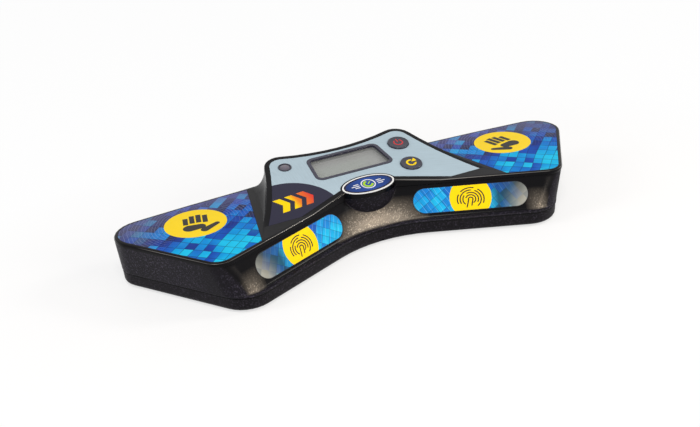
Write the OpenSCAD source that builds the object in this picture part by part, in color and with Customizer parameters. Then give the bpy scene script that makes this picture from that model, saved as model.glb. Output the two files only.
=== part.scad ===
// Speed cube timer: a long low wedge with a palm pad on each wing, two finger
// pads in a scooped front that sweeps forward in a V, and a tilted console in
// the middle with the display, two push buttons and a status light.
// X runs along the length, +Y to the back, +Z up. Z = 0 is the table.

/* [Body] */
// Length from end to end
body_w = 276; // [262:1:300]
// Depth from the front corners to the back of the console
body_depth = 88; // [84:1:98]
// Height of the wings above the table
wing_h = 28.8; // [27:0.1:32]
// Height of the seam between the two shells
seam_z = 6.9; // [6.2:0.1:8.5]
// Height of the underside above the table
base_z = 0.8; // [0.5:0.1:1.2]
// Thickness of the shell walls
wall = 2; // [1.6:0.1:2.4]
// Angle by which each half of the front edge sweeps forward
sweep = 23.8; // [21:0.1:26]
// Angle of the end walls from the length
end_angle = 55.8; // [53:0.1:59]
// Radius of the outer back corners
back_r = 16; // [13:0.5:18]
// Radius of the front corners along the top
front_r_top = 10; // [8:0.5:13]
// Radius of the front corners at the seam
front_r_low = 16.7; // [14:0.1:19]
// Radius of the V at the top rim
vee_r_top = 30; // [22:1:36]
// Radius of the V at the seam
vee_r_low = 66; // [50:1:75]
// Bow of the back edge over half the length
back_bow = 6.1; // [4:0.1:8]
// How far the end walls draw in from the top to the seam
end_draft = 3.8; // [2:0.1:5]
// How far the back wall draws in from the top to the seam
back_draft = 1; // [0.5:0.1:2]
// Radius of the bottom edge
bottom_r = 3; // [2:0.1:3.4]
// Radius of the rounded top rim
rim_r = 0.6; // [0.4:0.05:0.8]
// Width of the rim round the stickers
rim_w = 2.1; // [1.6:0.1:3]

/* [Scooped front] */
// How far the lower lip stands out in front of the top rim
lip_out = 10.65; // [9.5:0.05:12]
// Height of the ledge behind the lip
ledge_z = 9.7; // [9.3:0.1:10.2]
// Lean of the finger face from upright
face_lean = 28.7; // [26:0.1:31]
// Height of the middle of the finger face
face_z = 18.2; // [17.5:0.1:19]
// Distance of the middle of the finger face in front of the rim
face_out = 3.6; // [3.2:0.05:4]
// Distance of a finger pad's outer end from the corner of the front edge
pad_outer = 19.9; // [18:0.05:28]
// Height of a finger pad along the face
pad_h = 14.4; // [11:0.1:14.8]
// Distance of a pad's inner end from the middle of the V, along the edge
pad_inner = 25.65; // [24:0.05:30]
// Thickness of the finger pads
pad_t = 0.6; // [0.4:0.05:0.8]

/* [Palm stickers] */
// Thickness of the palm stickers
sticker_t = 0.4; // [0.3:0.05:0.6]
// Distance of the inner edge of a palm sticker from the middle
palm_inner = 64.7; // [62:0.1:70]
// Lean of that inner edge
palm_lean = 13.9; // [10:0.1:16]
// Distance of the middle of a palm sensor from the end of the wing
sensor_end = 42.2; // [40:0.1:46]
// Place of the palm sensors from front to back
sensor_y = 12.65; // [10:0.05:15]
// Radius of a palm sensor
sensor_r = 16.7; // [14:0.1:19]
// Thickness of the sensor foils
foil_t = 0.3; // [0.2:0.05:0.4]

/* [Console] */
// Tilt of the console's deck
tilt = 12.4; // [11:0.1:13.5]
// Place where the deck runs out into the wings
deck_y = -12.85; // [-14:0.05:-11]
// Half width of the console at its tips
tip_half = 67.9; // [64:0.1:72]
// Half width of the console just in front of its back corners
back_half = 46.6; // [44:0.1:50]
// Radius of the hollow curve of the console's sides
side_r = 210; // [180:1:300]
// Radius of the console's back corners
console_r = 10; // [8:0.5:12]
// Radius of the hollow curve of the console's back
back_arc_r = 125; // [110:1:160]
// How far the console's back corners stand behind the wings
console_proud = 2.95; // [2:0.05:4]
// Spread of the console's flared sides for each millimetre of height
flare = 0.85; // [0.5:0.05:1]
// Thickness of the face panel
panel_t = 0.5; // [0.4:0.05:0.7]
// Thickness of the deck below the face panel
deck_t = 2.5; // [2.4:0.1:2.8]
// Width of the console's rim round the face panel
deck_rim = 3.1; // [2.4:0.1:3.6]

/* [Display] */
// Width of the display bezel at the back
bezel_w_back = 44.4; // [40:0.1:46]
// Width of the display bezel at the front
bezel_w_front = 48.6; // [46:0.1:50]
// Distance of the display bezel from the badge boss
bezel_gap = 4.9; // [4.5:0.1:7]
// Distance of the display bezel from the back of the console's corners
bezel_back = 9.96; // [9.9:0.02:12]
// Radius of the display bezel's outer corners
bezel_r = 4.2; // [3:0.1:5]
// Width of the bezel's border
bezel_border = 1.9; // [1.4:0.1:2.4]
// Thickness of the display window
window_t = 1; // [0.8:0.1:1.1]
// Thickness of the display glass
glass_t = 2; // [1.6:0.1:2.2]
// Depth of the board's top face below the deck
board_w = 8.2; // [8:0.1:9]
// Thickness of the board
board_t = 1.6; // [1:0.1:2]

/* [Buttons and light] */
// Radius of the button holes
button_hole_r = 6.4; // [5.5:0.05:6.6]
// Gap round a button
button_gap = 0.2; // [0.1:0.05:0.3]
// Height of a button above the panel
button_proud = 0.9; // [0.6:0.1:1.5]
// Travel of a button
button_travel = 0.5; // [0.3:0.05:0.55]
// Place of the power button: distance from the middle
power_x = 34.4; // [33:0.1:35]
// Distance of the power button from the back of the console's corners
power_back = 16.2; // [15.2:0.1:17]
// Place of the reset button: distance from the middle
reset_x = 31.3; // [30.8:0.1:33]
// Share of the deck's length between the two buttons
button_share = 0.371; // [0.364:0.001:0.38]
// Radius of the status lens
lens_r = 3.85; // [3:0.05:4.2]
// Place of the status lens: distance from the middle
lens_x = 35.5; // [34:0.1:36]
// Distance of the status lens from the back of the console's corners
lens_back = 12.1; // [11.8:0.1:13]

/* [Badge boss] */
// Half length of the oval boss
boss_a = 16.2; // [14:0.1:17]
// Half depth of the oval boss
boss_b = 8.6; // [7.5:0.1:9]
// Place of the boss along the deck
boss_v = 12.45; // [12:0.05:13]
// Width of the boss's rim round the badge
boss_rim = 0.6; // [0.4:0.05:1]
// Thickness of the badge
badge_t = 0.9; // [0.6:0.05:1.2]

/* [Battery and fasteners] */
// Half width of the battery door
door_half = 27; // [26.5:0.1:30]
// Place of the front edge of the battery door
door_y = 9.8; // [9:0.1:10.2]
// Gap round the battery door
door_gap = 0.15; // [0.1:0.05:0.2]
// Radius of a rubber foot
foot_r = 5; // [4:0.1:6]
// Depth of a foot's recess
foot_in = 1; // [0.8:0.1:1.2]
// Radius of a case screw's shank
screw_r = 1.25; // [1:0.05:1.4]
// Radius of a board screw's shank
board_screw_r = 0.9; // [0.7:0.05:1]
// Radius of the data jack's bore
jack_bore_r = 1.8; // [1.78:0.01:1.84]
// Depth of the data jack's bore
jack_bore_len = 14; // [13:0.5:15]
// Height of the data jack
jack_z = 18.2; // [17.6:0.1:19]

/* [Hidden] */
$fn = 48;

// Diameter of an AAA cell
cell_d = 10.5;
// Length of an AAA cell
cell_len = 44.5;
// Gap between glued or seated faces that need room
seat = 0.1;
// Overshoot of a cut past the face it opens
past = 1;

// Distance of the middle of a palm sensor from the middle of the timer
sensor_x = body_w / 2 - sensor_end;

// ---- plan of the wings -------------------------------------------------
function lerp(a, b, t) = a + (b - a) * t;
function dir(a) = [cos(a), sin(a)];
function dot(p, q) = p[0] * q[0] + p[1] * q[1];
function cut_x(p) = [-p[0], p[1]];
// Point shared by two lines, each given by its outward normal and distance
function meet(a1, d1, a2, d2) =
  let (p = dir(a1), q = dir(a2), det = p[0] * q[1] - p[1] * q[0])
  [(d1 * q[1] - d2 * p[1]) / det, (p[0] * d2 - q[0] * d1) / det];
function arc(c, r, a0, a1, n) = [for (i = [0:n]) c + r * dir(lerp(a0, a1, i / n))];
function tail(list) = [for (i = [1:len(list) - 1]) list[i]];
// A half outline from the front middle to the back middle, closed by its mirror image
function both(half) =
  concat(half, [for (i = [len(half) - 2:-1:1]) cut_x(half[i])]);

console_back = body_depth / 2;
back_y = console_back - console_proud;
back_x = body_w / 2 - back_r;
back_lean = atan(2 * back_bow / back_x);
bow_x = back_x + back_r * sin(back_lean);
back_c = [back_x, back_y - back_bow - back_r * cos(back_lean)];

front_a = -90 - sweep;
end_a = end_angle - 90;
back_a = 90 - back_lean;
end_d = dot(dir(end_a), back_c) + back_r;
back_d = dot(dir(back_a), back_c) + back_r;
front_cy = front_r_low - body_depth / 2;
front_cx = (end_d - end_draft - front_r_low - sin(end_a) * front_cy) / cos(end_a);
front_d = dot(dir(front_a), [front_cx, front_cy]) + front_r_low - lip_out;

// Run of each half of the front edge, from the V to the corner
front_run = norm(meet(front_a, front_d, end_a, end_d) - [0, -front_d / cos(sweep)]);
pad_len = front_run - pad_outer - pad_inner;
pad_along = pad_inner + pad_len / 2;

// The V in the middle of the front edge
function vee(d, r) =
  let (c = -d / cos(sweep) - r / cos(sweep))
  [for (i = [0:4]) [r * sin(sweep * i / 4), c + r * cos(sweep * i / 4)]];
function back_edge(x, b) = back_y - b - back_bow * pow(x / bow_x, 2);
// Half outline: n is how far the front stands out from the rim, e and b how
// far the ends and the back draw in
function wing_half(n, e, b, rf, rv) =
  let (cf = meet(front_a, front_d + n - rf, end_a, end_d - e - rf),
       rb = back_r - e,
       cb = meet(end_a, end_d - e - rb, back_a, back_d - b - rb),
       xb = cb[0] + rb * cos(back_a))
  concat(vee(front_d + n, rv), arc(cf, rf, front_a, end_a, 7), arc(cb, rb, end_a, back_a, 9),
    [for (t = [0.75, 0.5, 0.25, 0]) [xb * t, back_edge(xb * t, b)]]);
function raise(outline, z) = [for (p = outline) [p[0], p[1], z]];

// ---- heights of the wings ----------------------------------------------
rise = wing_h - seam_z;
function high(z) = (z - seam_z) / rise;
function face_n(z) = face_out + (face_z - z) * tan(face_lean);
function corner_r(z) = lerp(front_r_low, front_r_top, high(z));
function vee_r(z) = lerp(vee_r_low, vee_r_top, pow(high(z), 2));
// Ring of the shell at height z, with the front at n and all walls drawn in by i
function shell_ring(z, n, i) =
  raise(both(wing_half(n - i, end_draft * (1 - high(z)) + i, back_draft * (1 - high(z)) + i,
    corner_r(z) - i, vee_r(z) + i)), z);
// The same below the seam
function base_ring(z, i) =
  raise(both(wing_half(lip_out - i, end_draft + i, back_draft + i, front_r_low - i,
    vee_r_low + i)), z);

groove = 0.25;
rim_band = 2.1;
blend = 1.2;
upper_profile = [
  [seam_z, lip_out, groove], [seam_z + groove, lip_out, 0], [ledge_z - 0.5, lip_out, 0],
  [ledge_z - 0.15, lip_out - 0.3, 0], [ledge_z, lip_out - 0.9, 0],
  [ledge_z + 0.1, face_n(ledge_z + 0.1) + 1, 0], [ledge_z + 0.5, face_n(ledge_z + 0.5) + 0.3, 0],
  [ledge_z + blend, face_n(ledge_z + blend), 0],
  [wing_h - rim_band - 2, face_n(wing_h - rim_band - 2), 0],
  [wing_h - rim_band - 1.1, -0.35, 0], [wing_h - rim_band - 0.5, -0.45, 0],
  [wing_h - rim_band - 0.2, -0.1, 0], [wing_h - rim_band, 0, 0], [wing_h - rim_r, 0, 0],
  [wing_h - rim_r * 0.3, 0, rim_r * 0.3], [wing_h, 0, rim_r]];

// Front of the cavity: the wall keeps its thickness behind the leaning face
function cave_n(z) = face_n(z) - wall / cos(face_lean);
cave_z = ledge_z - wall - 0.1;
cave_profile = [
  [seam_z - past, lip_out - wall, wall], [cave_z, lip_out - wall, wall],
  [cave_z + 0.6, cave_n(cave_z + 0.6), wall], [wing_h - 4.4, cave_n(wing_h - 4.4), wall],
  [wing_h - wall, cave_n(wing_h - 4.4) - 0.3, wall]];

// Solid through the rings, from the lowest up. Each end is closed by a fan from a point on its
// middle line, at mid_y from front to back and, on top, at height roof_z.
module loft(rings, mid_y, roof_z) {
  n = len(rings[0]);
  m = len(rings);
  low = m * n;
  sides = [for (k = [0:m - 2], i = [0:n - 1])
    let (j = (i + 1) % n, a = k * n + i, b = k * n + j, c = a + n, d = b + n)
    each [[a, c, d], [a, d, b]]];
  fans = [for (i = [0:n - 1])
    let (j = (i + 1) % n, top = (m - 1) * n) each [[low, i, j], [low + 1, top + j, top + i]]];
  polyhedron(points = concat([for (r = rings) each r],
    [[0, mid_y, rings[0][0][2]], [0, mid_y, roof_z]]),
    faces = concat(sides, fans));
}
fan_y = 20;

// ---- the console ---------------------------------------------------------
function deck_z(y) = wing_h + (y - deck_y) * tan(tilt);
function along(y) = (y - deck_y) / cos(tilt);
// Places along the deck, counted from its front
deck_len = along(console_back);
power_v = deck_len - power_back;
reset_v = power_v - button_share * deck_len;
lens_v = deck_len - lens_back;
bezel_h = deck_len - bezel_back - boss_v - boss_b - bezel_gap;
bezel_v = deck_len - bezel_back - bezel_h / 2;
tip_y = deck_y - 1.5;
// Centre of the circle of radius r through p and q, on their right
function through(p, q, r) =
  let (m = (p + q) / 2, h = (q - p) / 2, s = norm(h))
  m + [h[1], -h[0]] / s * sqrt(r * r - s * s);
shoulder_y = console_back - 0.885 * console_r;
side_c = through([tip_half, deck_y], [back_half, shoulder_y], side_r);
knee_y = console_back - console_r;
knee_c = [side_c[0] - sqrt(pow(side_r + console_r, 2) - pow(side_c[1] - knee_y, 2)), knee_y];
hollow_c = [0, knee_y + sqrt(pow(back_arc_r + console_r, 2) - pow(knee_c[0], 2))];
knee_a0 = atan2(side_c[1] - knee_c[1], side_c[0] - knee_c[0]);
knee_a1 = atan2(hollow_c[1] - knee_c[1], -knee_c[0]);
// Half outline of the console, drawn in by s, with the front at n; tip is where its tips are cut
function console_half(s, n, tip) =
  let (d = front_d + n, r = side_r + s,
       a_tip = 180 - asin((tip - side_c[1]) / r))
  concat(vee(d, vee_r_top), [[(d + cos(sweep) * tip) / -sin(sweep), tip]],
    arc(side_c, r, a_tip, 180 + knee_a0, 6), tail(arc(knee_c, console_r - s, knee_a0, knee_a1, 6)),
    tail(arc(hollow_c, back_arc_r + s, knee_a1 - 180, -90, 4)));
// Share of the flare that each of those points takes
spread = concat([for (i = [0:5]) 0], [for (i = [0:6]) 1],
  [for (i = [1:6]) pow(max(0, cos(lerp(knee_a0, knee_a1, i / 6))), 2)], [for (i = [1:4]) 0]);
is_front = concat([for (i = [0:5]) true], [for (i = [0:16]) false]);
brow = 0.05;
function foot_z(i, y) =
  is_front[i] ? wing_h - rim_band + 0.1 : min(wing_h - 0.1, deck_z(y) - rim_r - 0.1);
// Ring of the console: f is the share of the flare, t the share of the climb
function console_ring(s, n, f, t, drop) =
  let (half = console_half(s, n, tip_y),
       pts = [for (i = [0:len(half) - 1])
         let (p = half[i], top = deck_z(p[1]) - drop, low = foot_z(i, p[1]))
         [p[0] + f * spread[i] * flare * max(0, deck_z(p[1]) - wing_h), p[1], lerp(low, top, t)]])
  concat(pts, [for (i = [len(pts) - 2:-1:1]) [-pts[i][0], pts[i][1], pts[i][2]]]);
tower_in = -1.2;
function tower_ring(z, s) = [for (p = console_ring(s, tower_in, 1, 0, rim_r)) [p[0], p[1], z]];
climb = 6;

module console_solid() {
  loft(concat([tower_ring(seam_z + groove, 0.4), tower_ring(wing_h - rim_band - 1, 0)],
    [for (k = [0:climb]) console_ring(0, brow, 1 - sin(90 * k / climb),
      1 - cos(90 * k / climb), rim_r)],
    [console_ring(rim_r * 0.3, brow - rim_r * 0.3, 0, 1, rim_r * 0.3),
     console_ring(rim_r, brow - rim_r, 0, 1, 0)]), fan_y, deck_z(fan_y));
}
// Puts its children on the deck: X along the length, Y up the slope, Z = 0 at the panel's face
module on_deck() {
  translate([0, deck_y, wing_h]) rotate([tilt, 0, 0]) children();
}
module oval(a, b) {
  polygon([for (i = [0:63]) [a * cos(i * 5.625), b * sin(i * 5.625)]]);
}
// The boss stands upright, so its plan is the deck's oval seen from above
module boss_plan(grow) {
  translate([0, deck_y + boss_v * cos(tilt)]) oval(boss_a + grow, (boss_b + grow) * cos(tilt));
}
module boss_solid() {
  difference() {
    translate([0, 0, ledge_z + 0.2]) linear_extrude(wing_h) boss_plan(0);
    on_deck() translate([-50, -50, 0]) cube([100, 150, 60]);
  }
}

// ---- outlines that the shells and the pieces on them share ---------------
module panel_plan(grow) {
  half = console_half(deck_rim - grow, -deck_rim - 0.4 + grow, deck_y + 0.15 - grow);
  polygon([for (p = both(half)) [p[0], along(p[1])]]);
}
// Corner of an outline rounded with radius r
function rounded(p, q, s, r) =
  let (u = (p - q) / norm(p - q), v = (s - q) / norm(s - q), half = acos(dot(u, v)) / 2,
       w = (u + v) / norm(u + v), c = q + w * r / sin(half), a0 = atan2(w[1], w[0]) + 180)
  [for (k = [-3:3]) c + r * dir(a0 + sign(u[0] * v[1] - u[1] * v[0]) * -k * (90 - half) / 3)];
function round_all(pts, r) =
  let (n = len(pts))
  [for (i = [0:n - 1]) each rounded(pts[(i + n - 1) % n], pts[i], pts[(i + 1) % n], r)];
module bezel_plan(grow) {
  f = bezel_w_front / 2 + grow;
  b = bezel_w_back / 2 + grow;
  h = bezel_h / 2 + grow;
  translate([0, bezel_v])
    polygon(round_all([[f, -h], [b, h], [-b, h], [-f, -h]], max(0.4, bezel_r + grow)));
}
// Outline of a palm sticker on the right wing, drawn in by i from the edge of the top
function palm_points(i) =
  let (half = wing_half(-i, i, i, front_r_top - i, vee_r_top),
       inner = palm_inner + i - rim_w,
       lean_a = 180 + palm_lean,
       start = meet(front_a, front_d - i, lean_a, -inner),
       y0 = back_edge(palm_inner, i),
       stop_x = (inner - sin(palm_lean) * y0) / cos(palm_lean),
       xb = half[22][0])
  concat([start], [for (k = [5:22]) half[k]],
    [for (t = [0.25, 0.5, 0.75, 1]) let (x = lerp(xb, stop_x, t)) [x, back_edge(x, i)]]);
module finger_plan(grow) {
  r = pad_h / 2 + grow;
  l = pad_len / 2 - pad_h / 2;
  translate([-l, -r]) square([2 * l, 2 * r]);
  for (s = [-1, 1]) translate([s * l, 0]) circle(r);
}
vertex_y = -front_d / cos(sweep);
// Middle of the right finger pad
function finger_point(x, y, z) =
  let (d = [cos(sweep), -sin(sweep), 0], o = [-sin(sweep), -cos(sweep), 0], up = [0, 0, 1])
  [0, vertex_y, face_z] + d * (pad_along + x) + o * face_out
  + (up * cos(face_lean) - o * sin(face_lean)) * y + (o * cos(face_lean) + up * sin(face_lean)) * z;
module on_finger_face() {
  translate(finger_point(0, 0, 0)) rotate([0, 0, -sweep]) rotate([90 - face_lean, 0, 0]) children();
}
module mirrored() {
  children();
  mirror([1, 0, 0]) children();
}
// Outline of both shells at the seam, drawn in by i
module seam_plan(i) {
  polygon(both(wing_half(lip_out - i, end_draft + i, back_draft + i, front_r_low - i,
    vee_r_low + i)));
  polygon([for (p = tower_ring(0, 0.4 + i)) [p[0], p[1]]]);
}

// ---- places of the fasteners ----------------------------------------------
boss_top = seam_z + 3;
case_bosses = [[back_x, back_y - 21], [60, back_y - 10], [front_cx + 8, front_cy + 1.3]];
feet = [[back_x - 15, back_y - 15], [front_cx - 5, front_cy - 3], [45, back_y - 10]];
board_bosses = [[36, (power_v + reset_v) / 2 - 0.2], [18, 18.8]];
head_in = 2.4;
head_r = 2.5;
board_head_r = 2;

// ---- the shells --------------------------------------------------------------
// One skin of flat facets out of overlapping forms
module skin() resize([0, 0, 0]) children();

module upper_skin() skin() difference() {
  union() {
    loft([for (p = upper_profile) shell_ring(p[0], p[1], p[2])], fan_y, wing_h);
    console_solid();
    boss_solid();
  }
  upper_cavity();
  // recesses for the stickers, pads, panel and badge
  mirrored() translate([0, 0, wing_h - sticker_t]) linear_extrude(past) polygon(palm_points(rim_w));
  mirrored() on_finger_face() translate([0, 0, -pad_t]) linear_extrude(past * 3) finger_plan(seat);
  on_deck() translate([0, 0, -panel_t]) linear_extrude(past * 2) difference() {
    panel_plan(seat);
    translate([0, boss_v]) oval(boss_a, boss_b);
  }
  on_deck() translate([0, boss_v, -badge_t + 0.3]) linear_extrude(past * 2)
    oval(boss_a - boss_rim, boss_b - boss_rim);
  // the display's stepped opening
  on_deck() translate([0, 0, -panel_t - 0.7]) linear_extrude(5) bezel_plan(seat);
  on_deck() translate([0, 0, -panel_t - 0.7 - window_t - seat]) linear_extrude(5) bezel_plan(-0.8);
  on_deck() translate([0, 0, -20]) linear_extrude(20) bezel_plan(-bezel_border);
}
module upper_shell() color([0.13, 0.12, 0.14]) {
  difference() {
    upper_skin();
    on_deck() {
      translate([power_x, power_v, -20]) cylinder(r = button_hole_r, h = 25);
      translate([reset_x, reset_v, -20]) cylinder(r = button_hole_r, h = 25);
      translate([-lens_x, lens_v, -20]) cylinder(r = lens_r + 0.05, h = 25);
    }
    // way out for the data jack
    translate([0, 20, jack_z]) rotate([-90, 0, 0]) cylinder(r = jack_nose_r + 0.05, h = 60);
  }
  upper_bosses();
}
jack_nose_r = 3;

deck_wide = 1.3 * tip_half;
module upper_cavity() {
  difference() {
    union() {
      loft([for (p = cave_profile) shell_ring(p[0], p[1] + p[2], p[2])], fan_y, wing_h - wall);
      translate([0, 0, seam_z - past]) linear_extrude(60)
        polygon(both(console_half(wall + 0.3, -wall - 0.6, tip_y + wall)));
      translate([0, 0, ledge_z + wall]) linear_extrude(40) boss_plan(-wall);
      translate([0, 0, seam_z - past]) linear_extrude(past + 1.4) seam_plan(wall / 2 + 0.05);
    }
    // everything above the underside of the deck
    on_deck() translate([-deck_wide, -3, -panel_t - deck_t]) cube([2 * deck_wide, body_depth, 40]);
    translate([0, 0, wing_h - wall]) difference() {
      translate([-body_w, -body_depth, 0]) cube([2 * body_w, 2 * body_depth, 30]);
      translate([-deck_wide, deck_y, -1]) cube([2 * deck_wide, body_depth, 40]);
    }
  }
}
module upper_bosses() {
  mirrored() for (p = case_bosses) difference() {
    translate([p[0], p[1], boss_top]) cylinder(r = 3.2, h = wing_h - wall - boss_top + 0.5);
    translate([p[0], p[1], boss_top - past]) cylinder(r = screw_r + 0.02, h = 9 + past);
  }
  on_deck() mirrored() for (p = board_bosses) difference() {
    translate([p[0], p[1], -board_w]) cylinder(r = 2.6, h = board_w - panel_t - deck_t + 0.5);
    translate([p[0], p[1], -board_w - past]) cylinder(r = board_screw_r + 0.02, h = 3.6 + past);
  }
}

base_profile = [for (s = [0:5])
  let (a = 90 - 18 * s) [base_z + bottom_r * (1 - sin(a)), bottom_r * (1 - cos(a)) + 0.2]];
module base_solid() {
  steps = concat(base_profile, [[seam_z - groove, 0], [seam_z, groove]]);
  loft([for (p = steps) base_ring(p[0], p[1])], fan_y, seam_z);
  loft([for (p = steps) tower_ring(p[0], p[1] + 0.4)], fan_y, seam_z);
}
floor_t = 2;
floor_z = base_z + floor_t;
cell_r = cell_d / 2;
cell_z = floor_z + 0.1 + cell_r;
cell_gap = 0.7;
bay_half = door_half - 1.25;
bay_y0 = door_y + 1.8;
bay_y1 = bay_y0 + 2 * cell_d + 2 * cell_gap;
cell_ys = [bay_y0 + cell_gap / 2 + cell_r, bay_y1 - cell_gap / 2 - cell_r];
bay_top = cell_z + 2.5;
rail_out = 1.2;
rail_z = base_z + 0.8;
module door_space(gap) {
  translate([-door_half - gap, door_y - gap, -past])
    cube([2 * (door_half + gap), 60, floor_z + past]);
  translate([-door_half - rail_out - gap, bay_y0 - gap, rail_z - gap])
    cube([2 * (door_half + rail_out + gap), 60, floor_z - rail_z + gap]);
}
module bay_walls() {
  translate([0, 0, floor_z - 0.01]) linear_extrude(bay_top - floor_z) difference() {
    translate([-bay_half - 3, bay_y0 - 1.4]) square([2 * bay_half + 6, bay_y1 - bay_y0 + 2.8]);
    translate([-bay_half, bay_y0]) square([2 * bay_half, bay_y1 - bay_y0]);
  }
}
module base_skin() skin() difference() {
  union() {
    difference() {
      base_solid();
      translate([0, 0, floor_z]) linear_extrude(20) seam_plan(wall);
    }
    // tongue of the seam
    translate([0, 0, seam_z - 1]) linear_extrude(1 + 1.3) difference() {
      seam_plan(wall / 2 + 0.1);
      seam_plan(wall);
    }
    bay_walls();
  }
  door_space(door_gap);
  // lifting notch in the middle of the front edge
  translate([0, -12, base_z]) rotate([90, 0, 0]) linear_extrude(20) {
    translate([-1.5, -1]) square([3, 2]);
    translate([0, 1]) circle(1.5, $fn = 16);
  }
}
module base_shell() color([0.16, 0.15, 0.18]) difference() {
  union() {
    base_skin();
    mirrored() for (p = case_bosses)
      translate([p[0], p[1], floor_z - 0.5]) cylinder(r = 3.8, h = boss_top - floor_z + 0.5);
  }
  mirrored() for (p = feet) translate([p[0], p[1], base_z - past])
    cylinder(r = foot_r + seat, h = foot_in + past);
  mirrored() for (p = case_bosses) {
    translate([p[0], p[1], -past]) cylinder(r = screw_r + 0.25, h = 20);
    translate([p[0], p[1], -past]) cylinder(r = head_r + 0.3, h = base_z + head_in + past);
  }
}
module battery_door() color([0.16, 0.15, 0.18]) {
  skin() difference() {
    intersection() {
      base_solid();
      translate([-door_half, door_y, 0]) cube([2 * door_half, 60, floor_z - door_gap]);
    }
    // grip grooves
    for (i = [0:3]) translate([-9, console_back - 12 - 2.4 * i, base_z - past])
      cube([18, 1.2, past + 0.5]);
  }
  mirrored() translate([door_half - 0.5, bay_y0 + 0.2, rail_z])
    cube([rail_out + 0.5 - 0.05, bay_y1 - bay_y0, floor_z - door_gap - rail_z]);
}

// ---- skins ----------------------------------------------------------------------
module face_panel() color([0.74, 0.81, 0.83]) on_deck() difference() {
  translate([0, 0, -panel_t]) linear_extrude(panel_t) panel_plan(0);
  translate([0, 0, -past]) linear_extrude(3) bezel_plan(seat);
  translate([0, boss_v, -past]) linear_extrude(3) oval(boss_a + 0.3, boss_b + 0.3);
  translate([power_x, power_v, -past]) cylinder(r = button_hole_r, h = 3);
  translate([reset_x, reset_v, -past]) cylinder(r = button_hole_r, h = 3);
  translate([-lens_x, lens_v, -past]) cylinder(r = lens_r + 0.05, h = 3);
}
module palm_overlay() {
  translate([0, 0, wing_h - sticker_t]) linear_extrude(sticker_t) polygon(palm_points(rim_w + seat));
}
module right_palm_overlay() color([0.1, 0.45, 0.85]) palm_overlay();
module left_palm_overlay() color([0.1, 0.45, 0.85]) mirror([1, 0, 0]) palm_overlay();
module finger_pad() {
  on_finger_face() translate([0, 0, -pad_t]) linear_extrude(pad_t) finger_plan(0);
}
module right_finger_pad() color([0.15, 0.6, 0.9]) finger_pad();
module left_finger_pad() color([0.15, 0.6, 0.9]) mirror([1, 0, 0]) finger_pad();
module oval_badge() color([0.16, 0.22, 0.6]) on_deck() translate([0, boss_v, -badge_t + 0.3]) {
  linear_extrude(badge_t - 0.2) oval(boss_a - boss_rim - seat, boss_b - boss_rim - seat);
  linear_extrude(badge_t) oval(boss_a - boss_rim - 0.4, boss_b - boss_rim - 0.4);
}

// ---- the display -------------------------------------------------------------------
module lcd_bezel() color([0.12, 0.13, 0.24]) on_deck() difference() {
  translate([0, 0, -panel_t - 0.7]) linear_extrude(panel_t + 0.9) bezel_plan(0);
  translate([0, 0, -5]) linear_extrude(10) bezel_plan(-bezel_border);
}
module lcd_window() color([0.8, 0.85, 0.85, 0.4]) on_deck()
  translate([0, 0, -panel_t - 0.7 - window_t]) linear_extrude(window_t) bezel_plan(-0.9);
glass_top = panel_t + deck_t + seat;
module glass_plan(grow) {
  translate([0, bezel_v])
    square([bezel_w_front - 1 + 2 * grow, bezel_h + 1.4 + 2 * grow], center = true);
}
module lcd_glass() color([0.55, 0.58, 0.55]) on_deck()
  translate([0, 0, -glass_top - glass_t]) linear_extrude(glass_t) glass_plan(0);
module lcd_reflector() color([0.85, 0.85, 0.83]) on_deck()
  translate([0, 0, -glass_top - glass_t - 0.4]) linear_extrude(0.4) glass_plan(-2.6);
zebra_h = board_w - glass_top - glass_t;
zebra_len = bezel_w_back - 4.4;
module zebra_strips() color([0.9, 0.55, 0.6]) on_deck() for (s = [-1, 1])
  translate([-zebra_len / 2, bezel_v + s * (bezel_h / 2 - 0.6) - 1, -board_w])
    cube([zebra_len, 2, zebra_h]);

// ---- buttons and light ----------------------------------------------------------------
flange_top = panel_t + deck_t + seat;
stem_end = board_w - 3.6;
plunger_r = 1.7;
switch_top = board_w - 3;
module button(x, v) {
  on_deck() translate([x, v, 0]) {
    translate([0, 0, -flange_top])
      cylinder(r = button_hole_r - button_gap, h = flange_top + button_proud - 0.3);
    translate([0, 0, button_proud - 0.3])
      cylinder(r1 = button_hole_r - button_gap, r2 = button_hole_r - button_gap - 0.3, h = 0.3);
    translate([0, 0, -flange_top - 0.8]) cylinder(r = button_hole_r + 0.9, h = 0.8);
    translate([0, 0, -stem_end]) cylinder(r = 2.2, h = stem_end - flange_top - 0.4);
  }
}
module power_button() color([0.14, 0.13, 0.16]) button(power_x, power_v);
module reset_button() color([0.14, 0.13, 0.16]) button(reset_x, reset_v);
module plunger(x, v) {
  on_deck() translate([x, v, -switch_top - button_travel - 0.1])
    cylinder(r = plunger_r, h = switch_top + button_travel + 0.1 - stem_end);
}
module power_plunger() color([0.2, 0.2, 0.2]) plunger(power_x, power_v);
module reset_plunger() color([0.2, 0.2, 0.2]) plunger(reset_x, reset_v);
module tact_switch(x, v) {
  on_deck() translate([x, v, 0]) difference() {
    translate([-3.1, -3.1, -board_w]) cube([6.2, 6.2, board_w - switch_top]);
    translate([0, 0, -switch_top - 2 * button_travel - 0.3]) cylinder(r = plunger_r + 0.05, h = 5);
  }
}
module power_switch() color([0.3, 0.3, 0.32]) tact_switch(power_x, power_v);
module reset_switch() color([0.3, 0.3, 0.32]) tact_switch(reset_x, reset_v);
module status_lens() color([0.45, 0.38, 0.5, 0.8]) on_deck() translate([-lens_x, lens_v, 0]) {
  translate([0, 0, -panel_t - deck_t]) cylinder(r = lens_r, h = panel_t + deck_t + 0.2);
  translate([0, 0, 0.2]) cylinder(r1 = lens_r, r2 = lens_r - 0.6, h = 0.3);
  translate([0, 0, -panel_t - deck_t - 0.8]) cylinder(r = lens_r + 0.8, h = 0.8);
}
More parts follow.
